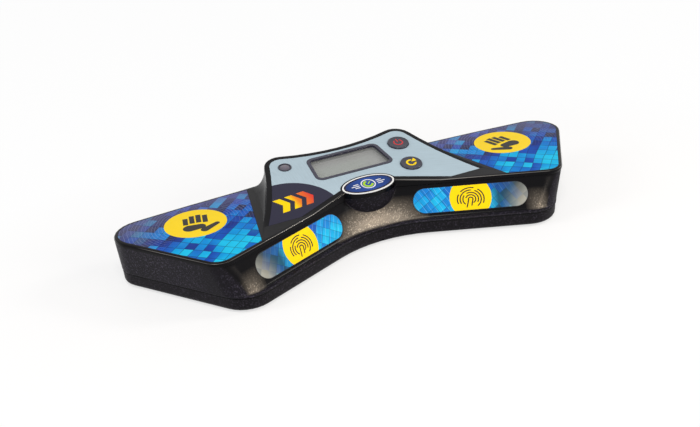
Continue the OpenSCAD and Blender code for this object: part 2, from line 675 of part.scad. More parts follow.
module status_led() color([0.8, 0.2, 0.2]) on_deck() translate([-lens_x, lens_v, -board_w]) {
  cylinder(r = 1.9, h = 1);
  cylinder(r = 1.5, h = 2.6);
  translate([0, 0, 2.6]) intersection() {
    sphere(r = 1.5);
    cylinder(r = 2, h = 2);
  }
}

// ---- sensors and leads ------------------------------------------------------------------
ceiling = wing_h - wall;
module palm_sensor() {
  translate([sensor_x, sensor_y, ceiling - foil_t]) cylinder(r = sensor_r, h = foil_t);
}
module right_palm_sensor() color([0.78, 0.5, 0.3]) palm_sensor();
module left_palm_sensor() color([0.78, 0.5, 0.3]) mirror([1, 0, 0]) palm_sensor();
module finger_sensor() {
  on_finger_face() translate([-pad_len / 2 + 5, -4, -wall - foil_t]) cube([pad_len - 10, 8, foil_t]);
}
module right_finger_sensor() color([0.78, 0.5, 0.3]) finger_sensor();
module left_finger_sensor() color([0.78, 0.5, 0.3]) mirror([1, 0, 0]) finger_sensor();

// Point of the deck at plan place x, y, and w below its face
function deck_point(x, y, w) = [x, y + w * sin(tilt), deck_z(y) - w * cos(tilt)];
// A lead swept along its points
module lead(pts, r) {
  n = 8;
  last = len(pts) - 1;
  function heading(i) =
    let (a = pts[max(0, i - 1)], b = pts[min(last, i + 1)]) (b - a) / norm(b - a);
  rings = [for (i = [0:last])
    let (t = heading(i), h = abs(t[0]) < 0.7 ? [1, 0, 0] : [0, 1, 0],
         u = cross(t, h) / norm(cross(t, h)), v = cross(t, u))
    [for (k = [0:n - 1]) pts[i] + r * (u * cos(k * 45) - v * sin(k * 45))]];
  sides = [for (k = [0:last - 1], i = [0:n - 1])
    let (j = (i + 1) % n, a = k * n + i, b = k * n + j) each [[a, a + n, b + n], [a, b + n, b]]];
  polyhedron(points = [for (q = rings) each q],
    faces = concat([[for (i = [0:n - 1]) i]], sides, [[for (i = [n - 1:-1:0]) last * n + i]]));
}
under = board_w + board_t;
lead_r = 0.5;
module sensor_leads() color([0.8, 0.15, 0.15]) mirrored() {
  tab = sensor_x - 0.72 * sensor_r;
  land = board_half - 4;
  lead([[tab, sensor_y, ceiling - foil_t], [tab, sensor_y, ceiling - foil_t - 2],
    [lerp(land, tab, 0.7), 13, 21], [lerp(land, tab, 0.42), 14, 20],
    [lerp(land, tab, 0.17), 15, 20.5], [land + 2, 16, 21.5],
    deck_point(land, 13, under + 2), deck_point(land, 13, under)], lead_r);
  lead([finger_point(-24, 0, -wall - foil_t), finger_point(-24, 0, -wall - foil_t - 2),
    [land - 4, 1, 17], [land - 6, 2, 18.5], deck_point(land - 8, 2, under + 2),
    deck_point(land - 8, 2, under)], lead_r);
}

// ---- the board --------------------------------------------------------------------------------
board_half = back_half - 6.6;
module board_plan() {
  front = along(vertex_y + 0.9);
  back = along(console_back - 9.9);
  mid = boss_a - 2.2;
  polygon([[0, front + 3], [mid, front], [board_half, front - 6], [board_half, back - 4],
    [board_half - 4, back], [4 - board_half, back], [-board_half, back - 4],
    [-board_half, front - 6], [-mid, front]]);
}
module main_board() color([0.05, 0.35, 0.18]) on_deck() difference() {
  translate([0, 0, -under]) linear_extrude(board_t) board_plan();
  mirrored() for (p = board_bosses) translate([p[0], p[1], -under - past])
    cylinder(r = board_screw_r + 0.2, h = 5);
}
module controller_chip() color([0.1, 0.1, 0.1]) on_deck() translate([4, 30, -under - 1.5]) {
  cube([12, 12, 1.5]);
  for (i = [0:7]) translate([-1, 0.9 + 1.35 * i, 0.9]) cube([14, 0.5, 0.6]);
}
module crystal() color([0.75, 0.75, 0.75]) on_deck() translate([-12, 36, -under - 3.5]) {
  translate([-3.2, -2.3, 0]) cube([6.4, 4.6, 3.5]);
  for (s = [-1, 1]) translate([s * 3.2, 0, 0]) cylinder(r = 2.3, h = 3.5);
}
module capacitors() color([0.2, 0.25, 0.5]) on_deck() for (s = [0, 1])
  translate([-24, 26 + 9 * s, -under - 6]) cylinder(r = 2.5, h = 6);

// ---- data jack ----------------------------------------------------------------------------------
// The back wall at the jack, which leans in towards the seam
jack_face = back_edge(0, back_draft * (1 - high(jack_z)));
jack_wall = jack_face - wall - seat;
nut_gap = 0.25;
module data_jack() color([0.12, 0.12, 0.13]) translate([0, jack_wall, jack_z]) difference() {
  union() {
    translate([-3.8, -11, -3.2]) cube([7.6, 11 - seat, 6.4]);
    rotate([-90, 0, 0]) translate([0, 0, -1]) cylinder(r = jack_nose_r, h = 5.2);
    translate([0, jack_face - jack_wall + nut_gap, 0]) rotate([-90, 0, 0]) cylinder(r = 4.4, h = 1.4);
  }
  translate([0, 4.2, 0]) rotate([90, 0, 0]) cylinder(r = jack_bore_r, h = jack_bore_len);
}
module jack_leads() color([0.85, 0.7, 0.1]) for (s = [-1, 1])
  lead([[s * 2, jack_wall - 11, jack_z], [s * 2, jack_wall - 13, jack_z], [s * 2, 21, jack_z + 2],
    deck_point(s * 2, 17, under + 2), deck_point(s * 2, 17, under)], lead_r);

// ---- battery ----------------------------------------------------------------------------------------
plate_t = 0.4;
cell_x = bay_half - plate_t;
module cell(y) {
  translate([cell_x - 0.8, y, cell_z]) rotate([0, -90, 0]) cylinder(r = cell_r, h = cell_len - 0.8);
  translate([cell_x, y, cell_z]) rotate([0, -90, 0]) cylinder(r = 1.9, h = 1.5);
}
module battery_cells() color([0.6, 0.62, 0.65]) {
  cell(cell_ys[0]);
  mirror([1, 0, 0]) cell(cell_ys[1]);
}
spring_len = 2 * bay_half - 2 * plate_t - cell_len;
spring_turns = 3.5;
module coil(y) {
  steps = round(spring_turns * 10);
  pts = concat([for (i = [0:steps])
    let (a = 36 * i, r = lerp(3.8, 2.4, i / steps))
    [-cell_x + 0.5 + (spring_len - 1) * i / steps, y + r * cos(a), cell_z + r * sin(a)]]);
  lead(pts, 0.4);
}
module battery_springs() color([0.8, 0.8, 0.82]) {
  coil(cell_ys[0]);
  mirror([1, 0, 0]) coil(cell_ys[1]);
}
module battery_contacts() color([0.8, 0.78, 0.7]) for (s = [-1, 1], y = cell_ys)
  translate([s * tab_x - plate_t / 2, y - 4.4, floor_z + 0.8])
    cube([plate_t, 8.8, bay_top - floor_z - 0.4]);
plate_top = bay_top + 0.4;
tab_x = bay_half - plate_t / 2;
module battery_leads() color([0.75, 0.1, 0.1]) for (s = [-1, 1])
  lead([[s * tab_x, cell_ys[0], plate_top], [s * tab_x, cell_ys[0], plate_top + 2],
    [s * 22, 15, 16], [s * 18, 14, 19], deck_point(s * 16, 12, under + 2),
    deck_point(s * 16, 12, under)], 0.2);

// ---- feet and screws --------------------------------------------------------------------------------------
module rubber_feet() color([0.08, 0.08, 0.08]) mirrored() for (p = feet)
  translate([p[0], p[1], 0]) {
    translate([0, 0, 0.3]) cylinder(r = foot_r, h = base_z + foot_in - 0.3);
    cylinder(r1 = foot_r - 0.3, r2 = foot_r, h = 0.3);
  }
module case_screws() color([0.5, 0.5, 0.52]) mirrored() for (p = case_bosses)
  translate([p[0], p[1], 0]) difference() {
    union() {
      translate([0, 0, base_z + head_in - 1.6]) cylinder(r = head_r, h = 1.6);
      translate([0, 0, base_z + head_in - 0.1])
        cylinder(r = screw_r, h = boss_top + 8 - base_z - head_in);
    }
    for (a = [0, 90]) rotate(a) translate([-1.6, -0.35, 0])
      cube([3.2, 0.7, base_z + head_in - 0.7]);
  }
module board_screws() color([0.6, 0.6, 0.62]) on_deck() mirrored() for (p = board_bosses)
  translate([p[0], p[1], -under]) difference() {
    union() {
      translate([0, 0, -1.3]) cylinder(r = board_head_r, h = 1.3);
      translate([0, 0, -0.1]) cylinder(r = board_screw_r, h = board_t + 3.1);
    }
    for (a = [0, 90]) rotate(a) translate([-1.3, -0.3, -2]) cube([2.6, 0.6, 1.3]);
  }

upper_shell();
base_shell();
battery_door();
face_panel();
lcd_bezel();
lcd_window();
lcd_glass();
lcd_reflector();
zebra_strips();
power_button();
reset_button();
power_plunger();
reset_plunger();
power_switch();
reset_switch();
status_lens();
status_led();
oval_badge();
left_palm_overlay();
right_palm_overlay();
left_finger_pad();
right_finger_pad();
left_palm_sensor();
right_palm_sensor();
left_finger_sensor();
right_finger_sensor();
sensor_leads();
main_board();
controller_chip();
crystal();
capacitors();
data_jack();
jack_leads();
battery_cells();
battery_springs();
battery_contacts();
battery_leads();
rubber_feet();
case_screws();
board_screws();
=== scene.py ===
"""Looks of a speed cube timer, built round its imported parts.

Shapes are worked out in millimetres and put in place in metres. X runs along the length, +Y to
the back, +Z up, and Z = 0 is the table. The deck is the tilted face of the console.
"""

import math

import bmesh
import bpy
from bpy.props import FloatProperty, FloatVectorProperty, IntProperty, PointerProperty
from mathutils import Matrix, Vector


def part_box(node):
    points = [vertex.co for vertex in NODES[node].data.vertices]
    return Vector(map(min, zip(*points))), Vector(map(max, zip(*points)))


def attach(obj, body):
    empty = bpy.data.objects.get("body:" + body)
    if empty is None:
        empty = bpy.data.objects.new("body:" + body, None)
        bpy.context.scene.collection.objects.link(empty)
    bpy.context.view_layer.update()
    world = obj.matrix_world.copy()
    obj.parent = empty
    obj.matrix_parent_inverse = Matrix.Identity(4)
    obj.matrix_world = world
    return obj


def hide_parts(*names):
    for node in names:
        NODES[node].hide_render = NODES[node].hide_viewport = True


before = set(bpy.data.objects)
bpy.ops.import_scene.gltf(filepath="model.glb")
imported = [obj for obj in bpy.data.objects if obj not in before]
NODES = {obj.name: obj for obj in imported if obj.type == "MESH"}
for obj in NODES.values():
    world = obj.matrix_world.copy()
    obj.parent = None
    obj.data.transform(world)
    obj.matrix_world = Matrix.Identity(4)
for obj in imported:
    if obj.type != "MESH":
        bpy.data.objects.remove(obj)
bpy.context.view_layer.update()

bl_info = {
    "name": "Speed cube timer",
    "version": (1, 0, 0),
    "blender": (4, 5, 0),
    "location": "View3D > Sidebar > Timer",
    "description": "Shapes and finishes of a speed cube timer",
    "category": "Object",
}

MM = 0.001
# Tilt of the deck, sweep of the wings and lean of the finger pads
TILT = math.radians(12.4)
SWEEP = math.radians(23.8)
LEAN = math.radians(28.7)
WING_TOP = 28.8
DECK_FRONT = -12.85
PAD_THICK = 0.6
PAD_LENGTH = 64.5
PAD_HEIGHT = 14.4
PALM_MIDDLE = (95.8, 12.65)
# Places on the deck: across it, and up it from its front edge
POWER = (34.4, 42.0)
RESET = (31.3, 20.4)
LIGHT = (-35.5, 46.1)
BOSS = (0.0, 12.45)
# The oval boss from above, and how far its wall leans in for each millimetre below its neck
BOSS_Y, BOSS_HALF_LONG, BOSS_HALF_DEEP = -0.69, 16.2, 8.4
BOSS_NECK, BOSS_DRAFT = 27.0, 0.25
# Rings of the wings' rounded edge: height in the solid, height shown, inset from the wall
RIM_RINGS = ((28.2, 27.8, 0.046), (28.62, 28.44, 0.43), (28.8, 28.8, 1.115))
# Height of the seam in the solids, and where it shows
SEAM, SEAM_SHOWN = 6.9, 8.5
# Distance from the middle at which the fillet of the V ends
SCOOP_TURN = 24.0
# Edges that turn by more than this stay sharp
SHARP = math.radians(32)
# Turn, rise and roll of the camera, its distance from its aim, and the aim, in metres
CAMERA_TURN = (-23.567, 25.561, -4.804)
CAMERA_AWAY, CAMERA_AIM = 0.6108, (0.00080, 0.02952, 0.0011)
# Rays that see the floor and the world white
SEEN_RAYS = ("Is Camera Ray", "Is Glossy Ray", "Is Transmission Ray")
# Name, place, aim, size, watts and tint of each lamp
LAMPS = (
    ("key", (-0.26, -0.60, 0.96), (0, 0, 0.02), (0.34, 0.26), 5.6, (1.0, 0.96, 0.90)),
    ("side", (0.92, -0.34, 0.62), (0, 0, 0.02), (0.26, 0.26), 3.6, (1.0, 0.95, 0.88)),
    ("glow", (0.34, -0.72, 0.38), (0, 0, 0.015), (0.36, 0.20), 2.2, (1.0, 0.90, 0.78)),
    ("left", (-0.95, 0.12, 0.60), (0, 0, 0.02), (0.4, 0.4), 3.2, (0.95, 0.95, 1.0)),
)


# ---- places ---------------------------------------------------------------------------------
def shift(x, y, z=0.0):
    return Matrix.Translation((x, y, z))


def turn(degrees, axis="Z"):
    return Matrix.Rotation(math.radians(degrees), 4, axis)


def side_name(side):
    return "right" if side > 0 else "left"


def middle(node):
    """Middle of a node's box, in millimetres."""
    low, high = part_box(node)
    return (low + high) / (2 * MM)


DECK = shift(0, DECK_FRONT, WING_TOP) @ Matrix.Rotation(TILT, 4, "X")


def palm_place(side):
    """Frame on the top of a wing, at the middle of its palm disc."""
    return shift(side * PALM_MIDDLE[0], PALM_MIDDLE[1], WING_TOP)


def pad_place(side):
    """Frame on the front face of a finger pad: X along the pad, Y up it, Z out of it."""
    face = Matrix.Rotation(-side * SWEEP, 4, "Z") @ Matrix.Rotation(math.pi / 2 - LEAN, 4, "X")
    seat = Matrix.Translation(middle(side_name(side) + "_finger_pad"))
    return seat @ face @ shift(0, 0, PAD_THICK / 2)


# ---- shader expressions ---------------------------------------------------------------------
class Value:
    """A shader socket that takes part in Python expressions."""

    def __init__(self, finish, socket):
        self.finish, self.socket = finish, socket

    def math(self, operation, *others, clamp=False):
        settings = {"operation": operation, "use_clamp": clamp}
        return self.finish.node("ShaderNodeMath", settings, dict(enumerate((self, *others))))

    def __add__(self, other):
        return self.math("ADD", other)

    __radd__ = __add__

    def __sub__(self, other):
        return self.math("SUBTRACT", other)

    def __rsub__(self, other):
        return self.math("MULTIPLY_ADD", -1.0, other)

    def __mul__(self, other):
        return self.math("MULTIPLY", other)

    __rmul__ = __mul__

    def __truediv__(self, other):
        return self.math("DIVIDE", other)

    def __neg__(self):
        return self.math("MULTIPLY", -1.0)

    def __abs__(self):
        return self.math("ABSOLUTE")

    def over(self, edge, soft=0.1):
        """1 where the value is over the edge, with a soft step round it."""
        return ((self - edge) * (1 / soft)).math("ADD", 0.5, clamp=True)

    def under(self, edge, soft=0.1):
        return 1 - self.over(edge, soft)

    def within(self, low, high, soft=0.1):
        return self.over(low, soft) * self.under(high, soft)

    def either(self, other):
        return self.math("MAXIMUM", other)

    def clamped(self):
        return self.math("ADD", 0.0, clamp=True)

    def fraction(self):
        return self.math("FRACT")


def distance(a, b):
    """Length of the flat vector (a, b)."""
    return (a * a + b * b).math("SQRT")


class Finish:
    """A material whose pattern is written as expressions."""

    def __init__(self, name, **fixed):
        self.material = bpy.data.materials.new(name)
        self.material.use_nodes = True
        self.tree = self.material.node_tree
        self.tree.nodes.clear()
        self.shader = self.tree.nodes.new("ShaderNodeBsdfPrincipled")
        output = self.tree.nodes.new("ShaderNodeOutputMaterial")
        self.tree.links.new(self.shader.outputs[0], output.inputs[0])
        self.feed(**fixed)

    def put(self, socket, value):
        if isinstance(value, Value):
            self.tree.links.new(value.socket, socket)
        elif hasattr(socket.default_value, "__len__") and len(socket.default_value) == 4:
            socket.default_value = (*tuple(value)[:3], 1.0)
        else:
            socket.default_value = value

    def feed(self, **sockets):
        """Sets or links the shader's sockets, named with underscores."""
        for name, value in sockets.items():
            label = name.replace("_", " ").title().replace("Ior", "IOR")
            self.put(self.shader.inputs[label], value)

    def node(self, kind, settings, sockets, output=0):
        made = self.tree.nodes.new(kind)
        for name, value in settings.items():
            if name == "stops":
                ramp = made.color_ramp
                while len(ramp.elements) < len(value):
                    ramp.elements.new(0.5)
                for element, (place, colour) in zip(ramp.elements, value):
                    element.position, element.color = place, (*colour, 1.0)
            else:
                setattr(made, name, value)
        for name, value in sockets.items():
            self.put(made.inputs[name], value)
        return Value(self, made.outputs[output])

    def place(self, matrix=None):
        """Place on the piece, in the millimetres of the frame that matrix puts there."""
        back = (matrix or Matrix()).inverted()
        return self.node("ShaderNodeMapping", {"vector_type": "POINT"}, {
            "Vector": self.node("ShaderNodeTexCoord", {}, {}, "Object"),
            "Location": back.translation, "Rotation": back.to_euler(), "Scale": (1 / MM,) * 3})

    def facing(self):
        """How far the surface faces up: 1 on a level top, 0 on a wall."""
        return self.parts(self.node("ShaderNodeTexCoord", {}, {}, "Normal"))[2]

    def parts(self, place):
        return [self.node("ShaderNodeSeparateXYZ", {}, {0: place}, i) for i in range(3)]

    def point(self, x, y, z=0.0):
        return self.node("ShaderNodeCombineXYZ", {}, {0: x, 1: y, 2: z})

    def noise(self, place, scale, detail=2.0, rough=0.5):
        return self.node("ShaderNodeTexNoise", {"noise_dimensions": "3D"}, {
            "Vector": place, "Scale": scale, "Detail": detail, "Roughness": rough})

    def random(self, place, output=0):
        return self.node("ShaderNodeTexWhiteNoise", {"noise_dimensions": "3D"}, {0: place}, output)

    def ramp(self, value, stops):
        return self.node("ShaderNodeValToRGB", {"stops": stops}, {0: value})

    def mix(self, first, second, share, blend="MIX"):
        settings = {"data_type": "RGBA", "blend_type": blend, "clamp_factor": True}
        return self.node("ShaderNodeMix", settings, {0: share, 6: first, 7: second}, 2)

    def bump(self, height, distance, strength=1.0):
        self.feed(normal=self.node("ShaderNodeBump", {}, {
            "Strength": strength, "Distance": distance * MM, "Height": height}))


def shade(colour, factor):
    return tuple(min(1.0, c * factor) for c in colour)


def moulded(name, colour, rough=0.45, grain=2.2, depth=0.03, mottle=0.15, **fixed):
    """A plain finish with a fine grain, slight mottling and uneven gloss."""
    f = Finish(name, **fixed)
    place = f.place()
    cloud = f.noise(place, 0.09, 3.0)
    fine = f.noise(place, grain, 2.0, 0.6)
    f.feed(base_color=f.mix(shade(colour, 1 - mottle), shade(colour, 1 + mottle),
                            cloud * 0.7 + fine * 0.3),
           roughness=rough * 0.85 + fine * (rough * 0.3))
    f.bump(fine, depth)
    return f.material


def brushed(name, colour, rough=0.3, along=0):
    """Bare metal with fine drawn lines along one axis."""
    f = Finish(name, metallic=1.0)
    stretch = [2.5, 2.5, 2.5]
    stretch[along] = 0.12
    x, y, z = f.parts(f.place())
    lines = f.noise(f.point(x * stretch[0], y * stretch[1], z * stretch[2]), 2.0, 4.0, 0.6)
    f.feed(base_color=f.mix(shade(colour, 0.8), shade(colour, 1.12), lines),
           roughness=rough * 0.8 + lines * (rough * 0.5))
    f.bump(lines, 0.006)
    return f.material


# ---- finishes of this timer -----------------------------------------------------------------
SEAM_SHADOW = (0.0006, 0.0006, 0.0008)
# Beige metal of the painted sheen at the foot of the scoop
PAINTED_SHEEN = (0.44, 0.38, 0.31)
# Light metal of the painted highlight along the front rims
RIM_GLINT = (0.24, 0.22, 0.195)


def mould_grain(f, place):
    """Height and light flecks of a spark-eroded mould's grain."""
    fine = f.noise(place, 1.6, 3.0, 0.65)
    coarse = f.noise(place, 0.75, 2.0, 0.6)
    return fine * 0.55 + coarse * 0.45, f.noise(place, 1.15, 2.0, 0.8).over(0.60, 0.12)


def housing_finish(look):
    """Black moulding: grained walls, polished rim and console, a painted beige sheen at the foot of
    the scoop and a painted highlight along the front rims.

    far is the distance from the middle, and ahead the distance in front of the pads' plane."""
    f = Finish("black_moulding", specular_ior_level=0.09, coat_roughness=0.16, coat_ior=2.0)
    place = f.place()
    x, y, z = f.parts(place)
    far = abs(x)
    pads = pad_place(1)
    normal = pads.to_3x3() @ Vector((0, 0, 1))
    ahead = far * normal.x + y * normal.y + z * normal.z - normal.dot(pads.translation)
    inward = 1 - far.over(SCOOP_TURN / 2, SCOOP_TURN)
    fillet = inward * inward * 5.6 + 0.7
    scoop = ahead.over(-1.6, 0.8) * ahead.under(fillet, 0.8) * z.within(10.0, 26.6, 0.4)
    scoop = scoop * y.under(8.0)
    drawn = (BOSS_NECK - z) * BOSS_DRAFT
    across, deep = x / (BOSS_HALF_LONG - drawn), (y - BOSS_Y) / (BOSS_HALF_DEEP - drawn)
    boss = (across * across + deep * deep).under(1.03, 0.04) * z.within(12.0, 27.5)
    polished = scoop.either(z.over(26.3, 0.5)) * (1 - boss * 0.8)
    rim = f.facing().within(0.40, 0.86, 0.12) * z.over(26.8, 0.3) * y.under(14.0, 20.0)
    height, fleck = mould_grain(f, place)
    cloud = f.noise(place, 0.05, 2.0)
    # Painted sheen: beside the boss and near the outer corners, the foot of the scoop becomes a
    # beige metal that shows as a lamp's glow
    middle_glow = far.under(20.0, 18.0) * z.under(17.5, 9.0)
    corner_glow = far.over(83.0, 11.0) * far.under(88.0, 8.0) * z.under(16.0, 10.0)
    painted_sheen = (middle_glow + corner_glow) * scoop * (1 - boss) * (0.45 + fleck * 0.55)
    corner = far.over(93.0, 6.0) * z.under(26.5, 1.0)
    # Painted shade: the front corner walls lose their light flecks and read darker; on the boss the
    # grain is only calmer
    painted_corner_shade_and_calm = (far.over(98.0, 12.0) * y.under(-27.0, 10.0)).either(boss * 0.55)
    grained = f.mix(shade(look.shell, 0.55), shade(look.shell, 6.6),
                    (fleck * 0.8 + cloud * 0.1) * (1 - painted_corner_shade_and_calm * 0.75))
    along_edge = (y * -math.cos(SWEEP) - far * math.sin(SWEEP)).over(-6.0, 1.5)
    # Painted highlight: a light metal line along the front rims, under a clear coat
    painted_rim_highlight = rim * y.under(-2.0, 12.0) * along_edge.either(far.over(100.0, 4.0))
    level_top = f.facing().over(0.97, 0.02)
    glossy = f.mix(shade(look.shell, 0.12), shade(look.shell, 0.32), cloud)
    black = f.mix(f.mix(grained, glossy, polished), PAINTED_SHEEN, painted_sheen)
    black = f.mix(black, RIM_GLINT, painted_rim_highlight * 0.9)
    f.feed(base_color=f.mix(black, SEAM_SHADOW, z.under(SEAM_SHOWN + 0.38, 0.12)),
           roughness=0.36 + height * 0.2
           - polished * (0.26 - painted_sheen * 0.24 - corner * 0.26 - level_top * 0.16),
           metallic=painted_sheen.either(painted_rim_highlight * 0.9), coat_weight=painted_rim_highlight * 0.9)
    f.bump(height * (1 - polished * 0.9) + painted_sheen * height * 0.5, 0.14)
    return f.material


def base_finish(look):
    """Grained lower housing, a little lighter than the upper one."""
    f = Finish("black_moulding_grained", specular_ior_level=0.1)
    place = f.place()
    z = f.parts(place)[2]
    height, fleck = mould_grain(f, place)
    black = f.mix(shade(look.base, 0.45), shade(look.base, 3.8), fleck * 0.8)
    f.feed(base_color=f.mix(black, SEAM_SHADOW, z.over(SEAM_SHOWN - 0.32, 0.12)),
           roughness=0.42 + height * 0.16)
    f.bump(height, 0.12)
    return f.material


def panel_finish(look):
    """Pale overlay printed to look brushed, with a dark field on its left."""
    f = Finish("brushed_print", specular_ior_level=0.12)
    place = f.place(DECK)
    u, v, w = f.parts(place)
    sway = f.noise(place, 0.05, 2.0) * 3.0
    upright = f.noise(f.point(u * 2.6 + sway, v * 0.10, w), 1.0, 3.0, 0.7)
    level = f.noise(f.point(u * 0.10, v * 2.8 + u * 1.15 + sway, w), 1.0, 3.0, 0.7)
    side = u.over(6.0, 34.0)
    fine = upright * (1 - side) + level * side
    broad = f.noise(place, 0.04, 2.0)
    dots = f.noise(place, 2.6, 1.0)
    pale = f.mix(shade(look.panel, 0.70), shade(look.panel, 1.22), fine * 0.8 + broad * 0.2)
    radius = look.field_radius / MM
    reach = distance(u - look.field_x / MM, v - look.field_v / MM)
    field = reach.under(radius, 0.12)
    line = reach.within(radius - 0.05, radius + 0.35, 0.1)
    navy = f.mix(shade(look.navy, 0.85), shade(look.navy, 1.2), dots)
    ink = f.mix(f.mix(pale, navy, field), shade(look.panel, 1.1), line * 0.35)
    f.feed(base_color=ink, metallic=0.2 * (1 - field),
           roughness=0.36 + fine * 0.1 - field * 0.06)
    f.bump(fine * (1 - field) * 0.5 + dots * 0.3, 0.012)
    return f.material


def tiles(f, across, up, size, height):
    """Cells of a grid: two random numbers of each, nearness to its edge, and place in it."""
    a, b = across * (1 / size), up * (1 / height)
    ca, cb = a.math("FLOOR"), b.math("FLOOR")
    pick = f.random(f.point(ca, cb, 0.0))
    second = f.random(f.point(ca, cb, 5.0))
    fa, fb = a - ca, b - cb
    edge = fa.math("MINIMUM", 1 - fa).math("MINIMUM", fb.math("MINIMUM", 1 - fb))
    return pick, second, edge, fa, fb


# Inks of the tiles, from dark to bright
BLUES = ((0.0, (0.012, 0.014, 0.06)), (0.18, (0.008, 0.03, 0.24)), (0.36, (0.006, 0.075, 0.46)),
         (0.54, (0.004, 0.15, 0.58)), (0.70, (0.003, 0.25, 0.70)), (0.86, (0.004, 0.40, 0.80)),
         (1.0, (0.012, 0.55, 0.87)))


def palm_finish(side, look):
    """Printed tiles of a palm pad: bright at the front, dark and violet towards the back."""
    f = Finish("palm_tiles_" + side_name(side), specular_ior_level=0.03)
    place = f.place(palm_place(side))
    x, y = f.parts(place)[:2]
    size = look.tile / MM
    out = x * float(side)
    bend = f.noise(place, 0.03, 1.0) * 4.0
    diagonal = 0.7071
    slant, rise = (x - y) * diagonal + bend, (x + y) * diagonal + bend * 0.5
    pick, second, edge, fa, fb = tiles(f, slant, rise, size, size * 1.35)
    drift = f.noise(place, 0.035, 2.0)
    bright = 0.43 - y * 0.013 - abs(out + 5) * 0.005 + (drift - 0.5) * 1.1
    ink = f.ramp((bright + (pick - 0.5) * 0.85).clamped(), BLUES)
    odd = second.over(0.88, 0.02) * bright.within(-0.3, 0.62, 0.2)
    ink = f.mix(ink, (0.01, 0.42, 0.85), odd * 0.85)
    violet = (y * 0.05 - 0.15 + (drift - 0.5) * 0.8).clamped()
    ink = f.mix(ink, (0.14, 0.13, 0.31), violet * (0.45 + pick * 0.3))
    corner = ((out - 14) * 0.05 + y * 0.03).clamped()
    ink = f.mix(ink, (0.10, 0.10, 0.17), corner * (0.4 + second * 0.3))
    waves = (f.noise(place, 0.08, 1.0) * 34.0).fraction()
    curls = (distance(x, y) * 0.55 + drift * 3.0).fraction()
    lines = waves.within(0.42, 0.55, 0.06).either(curls.within(0.40, 0.56, 0.06))
    ink = f.mix(ink, (0.34, 0.42, 0.70), lines * bright.under(0.46, 0.4) * 0.30)
    streak = f.noise(f.point(slant * 0.2, rise * 2.4, 0.0), 1.0, 2.0)
    ink = f.mix(darker(f, ink, 0.80), ink, 0.2 + (fa + fb) * 0.3 + streak * 0.5)
    grout = edge.under(0.028, 0.02) * bright.over(0.25, 0.4)
    ink = f.mix(ink, (0.008, 0.02, 0.09), grout * 0.85)
    film = f.noise(place, 2.4, 2.0)
    f.feed(base_color=ink, roughness=0.32 + film * 0.1)
    f.bump(film, 0.006)
    return f.material


def darker(f, ink, factor):
    return f.mix(ink, (0.0, 0.0, 0.0), 1 - factor)


def finger_finish(side, look):
    """Printed diamonds of a finger pad, which fade to a silver grey at the outer end."""
    f = Finish("finger_tiles_" + side_name(side), specular_ior_level=0.12)
    place = f.place(pad_place(side))
    x, y = f.parts(place)[:2]
    out = x * float(side)
    size = look.diamond / MM
    pick, second, edge, fa, fb = tiles(f, out * 0.80 + y * 0.62, y * 0.85 - out * 0.62, size, size)
    drift = f.noise(place, 0.06, 2.0)
    bright = 0.74 + (drift - 0.5) * 0.6 - y * 0.012 + (pick - 0.5) * 0.5
    ink = f.ramp(bright.clamped(), BLUES)
    cross = ((out * 0.86 + y * 0.5) * 0.36 + drift).fraction()
    fine_strands = (cross * 3.0).fraction().within(0.4, 0.6, 0.1) * 0.3
    strands = cross.within(0.46, 0.56, 0.05).either(fine_strands)
    ink = f.mix(ink, (0.30, 0.66, 0.90), strands * 0.38)
    ink = f.mix(ink, (0.012, 0.05, 0.085), out.over(12.5, 6.0) * (0.5 + second * 0.45))
    grey = f.mix((0.05, 0.06, 0.06), (0.34, 0.34, 0.30), (out * 0.06 - 1.0 - y * 0.08))
    ink = f.mix(ink, grey, (out.over(22.0, 10.0) * (0.75 + pick * 0.35)).math("MINIMUM", 1.0))
    glint = (fa - fb).over(0.0, 0.9)
    ink = f.mix(darker(f, ink, 0.78), ink, 0.4 + glint * 0.6)
    grout = edge.under(0.03, 0.025) * out.under(22.0, 8.0)
    ink = f.mix(ink, (0.01, 0.04, 0.14), grout * 0.6)
    straight = PAD_LENGTH / 2 - PAD_HEIGHT / 2
    past_straight = (abs(x) - straight).math("MAXIMUM", 0.0)
    border = distance(past_straight, y).over(PAD_HEIGHT / 2 - 0.35, 0.08)
    ink = f.mix(ink, (0.01, 0.01, 0.012), border)
    film = f.noise(place, 2.4, 2.0)
    f.feed(base_color=ink, roughness=0.25 + film * 0.08)
    f.bump(film, 0.005)
    return f.material


def ink_finish(name, colour, rough=0.38):
    return moulded(name, colour, rough, grain=2.8, depth=0.005, mottle=0.06,
                   specular_ior_level=0.08)


def blend_finish(name, frame_matrix, stops, low, high, rough=0.35):
    """An ink that runs through the stops along X of a frame."""
    f = Finish(name, specular_ior_level=0.08)
    place = f.place(frame_matrix)
    x = f.parts(place)[0]
    film = f.noise(place, 2.6, 2.0)
    run = ((x - low) * (1 / (high - low))).clamped()
    f.feed(base_color=f.ramp(run, stops), roughness=rough + film * 0.08)
    f.bump(film, 0.005)
    return f.material


def display_finish(look):
    """Grey-green display glass with a fine weave, and painted shade of its recess towards the back
    and the right.
    """
    f = Finish("display_glass", coat_weight=0.3, coat_roughness=0.03)
    place = f.place(DECK)
    u, v = f.parts(place)[:2]
    cloud = f.noise(place, 0.05, 2.0)
    weave = ((u * 2.2).fraction() - 0.5) * ((v * 2.2).fraction() - 0.5)
    tone = cloud * 0.7 + weave * 0.3 + 0.15
    glass = f.mix(shade(look.display, 0.88), shade(look.display, 1.08), tone)
    mid = DECK.inverted() @ middle("lcd_glass")
    # Painted shade of the recess along the display's back and right edges
    painted_recess_shade = (u - mid.x).over(13.0, 16.0).either((v - mid.y).over(4.5, 7.0))
    f.feed(base_color=f.mix(glass, (0.17, 0.15, 0.175), painted_recess_shade * 0.6),
           roughness=0.28 + cloud * 0.06)
    f.bump(weave, 0.002)
    return f.material


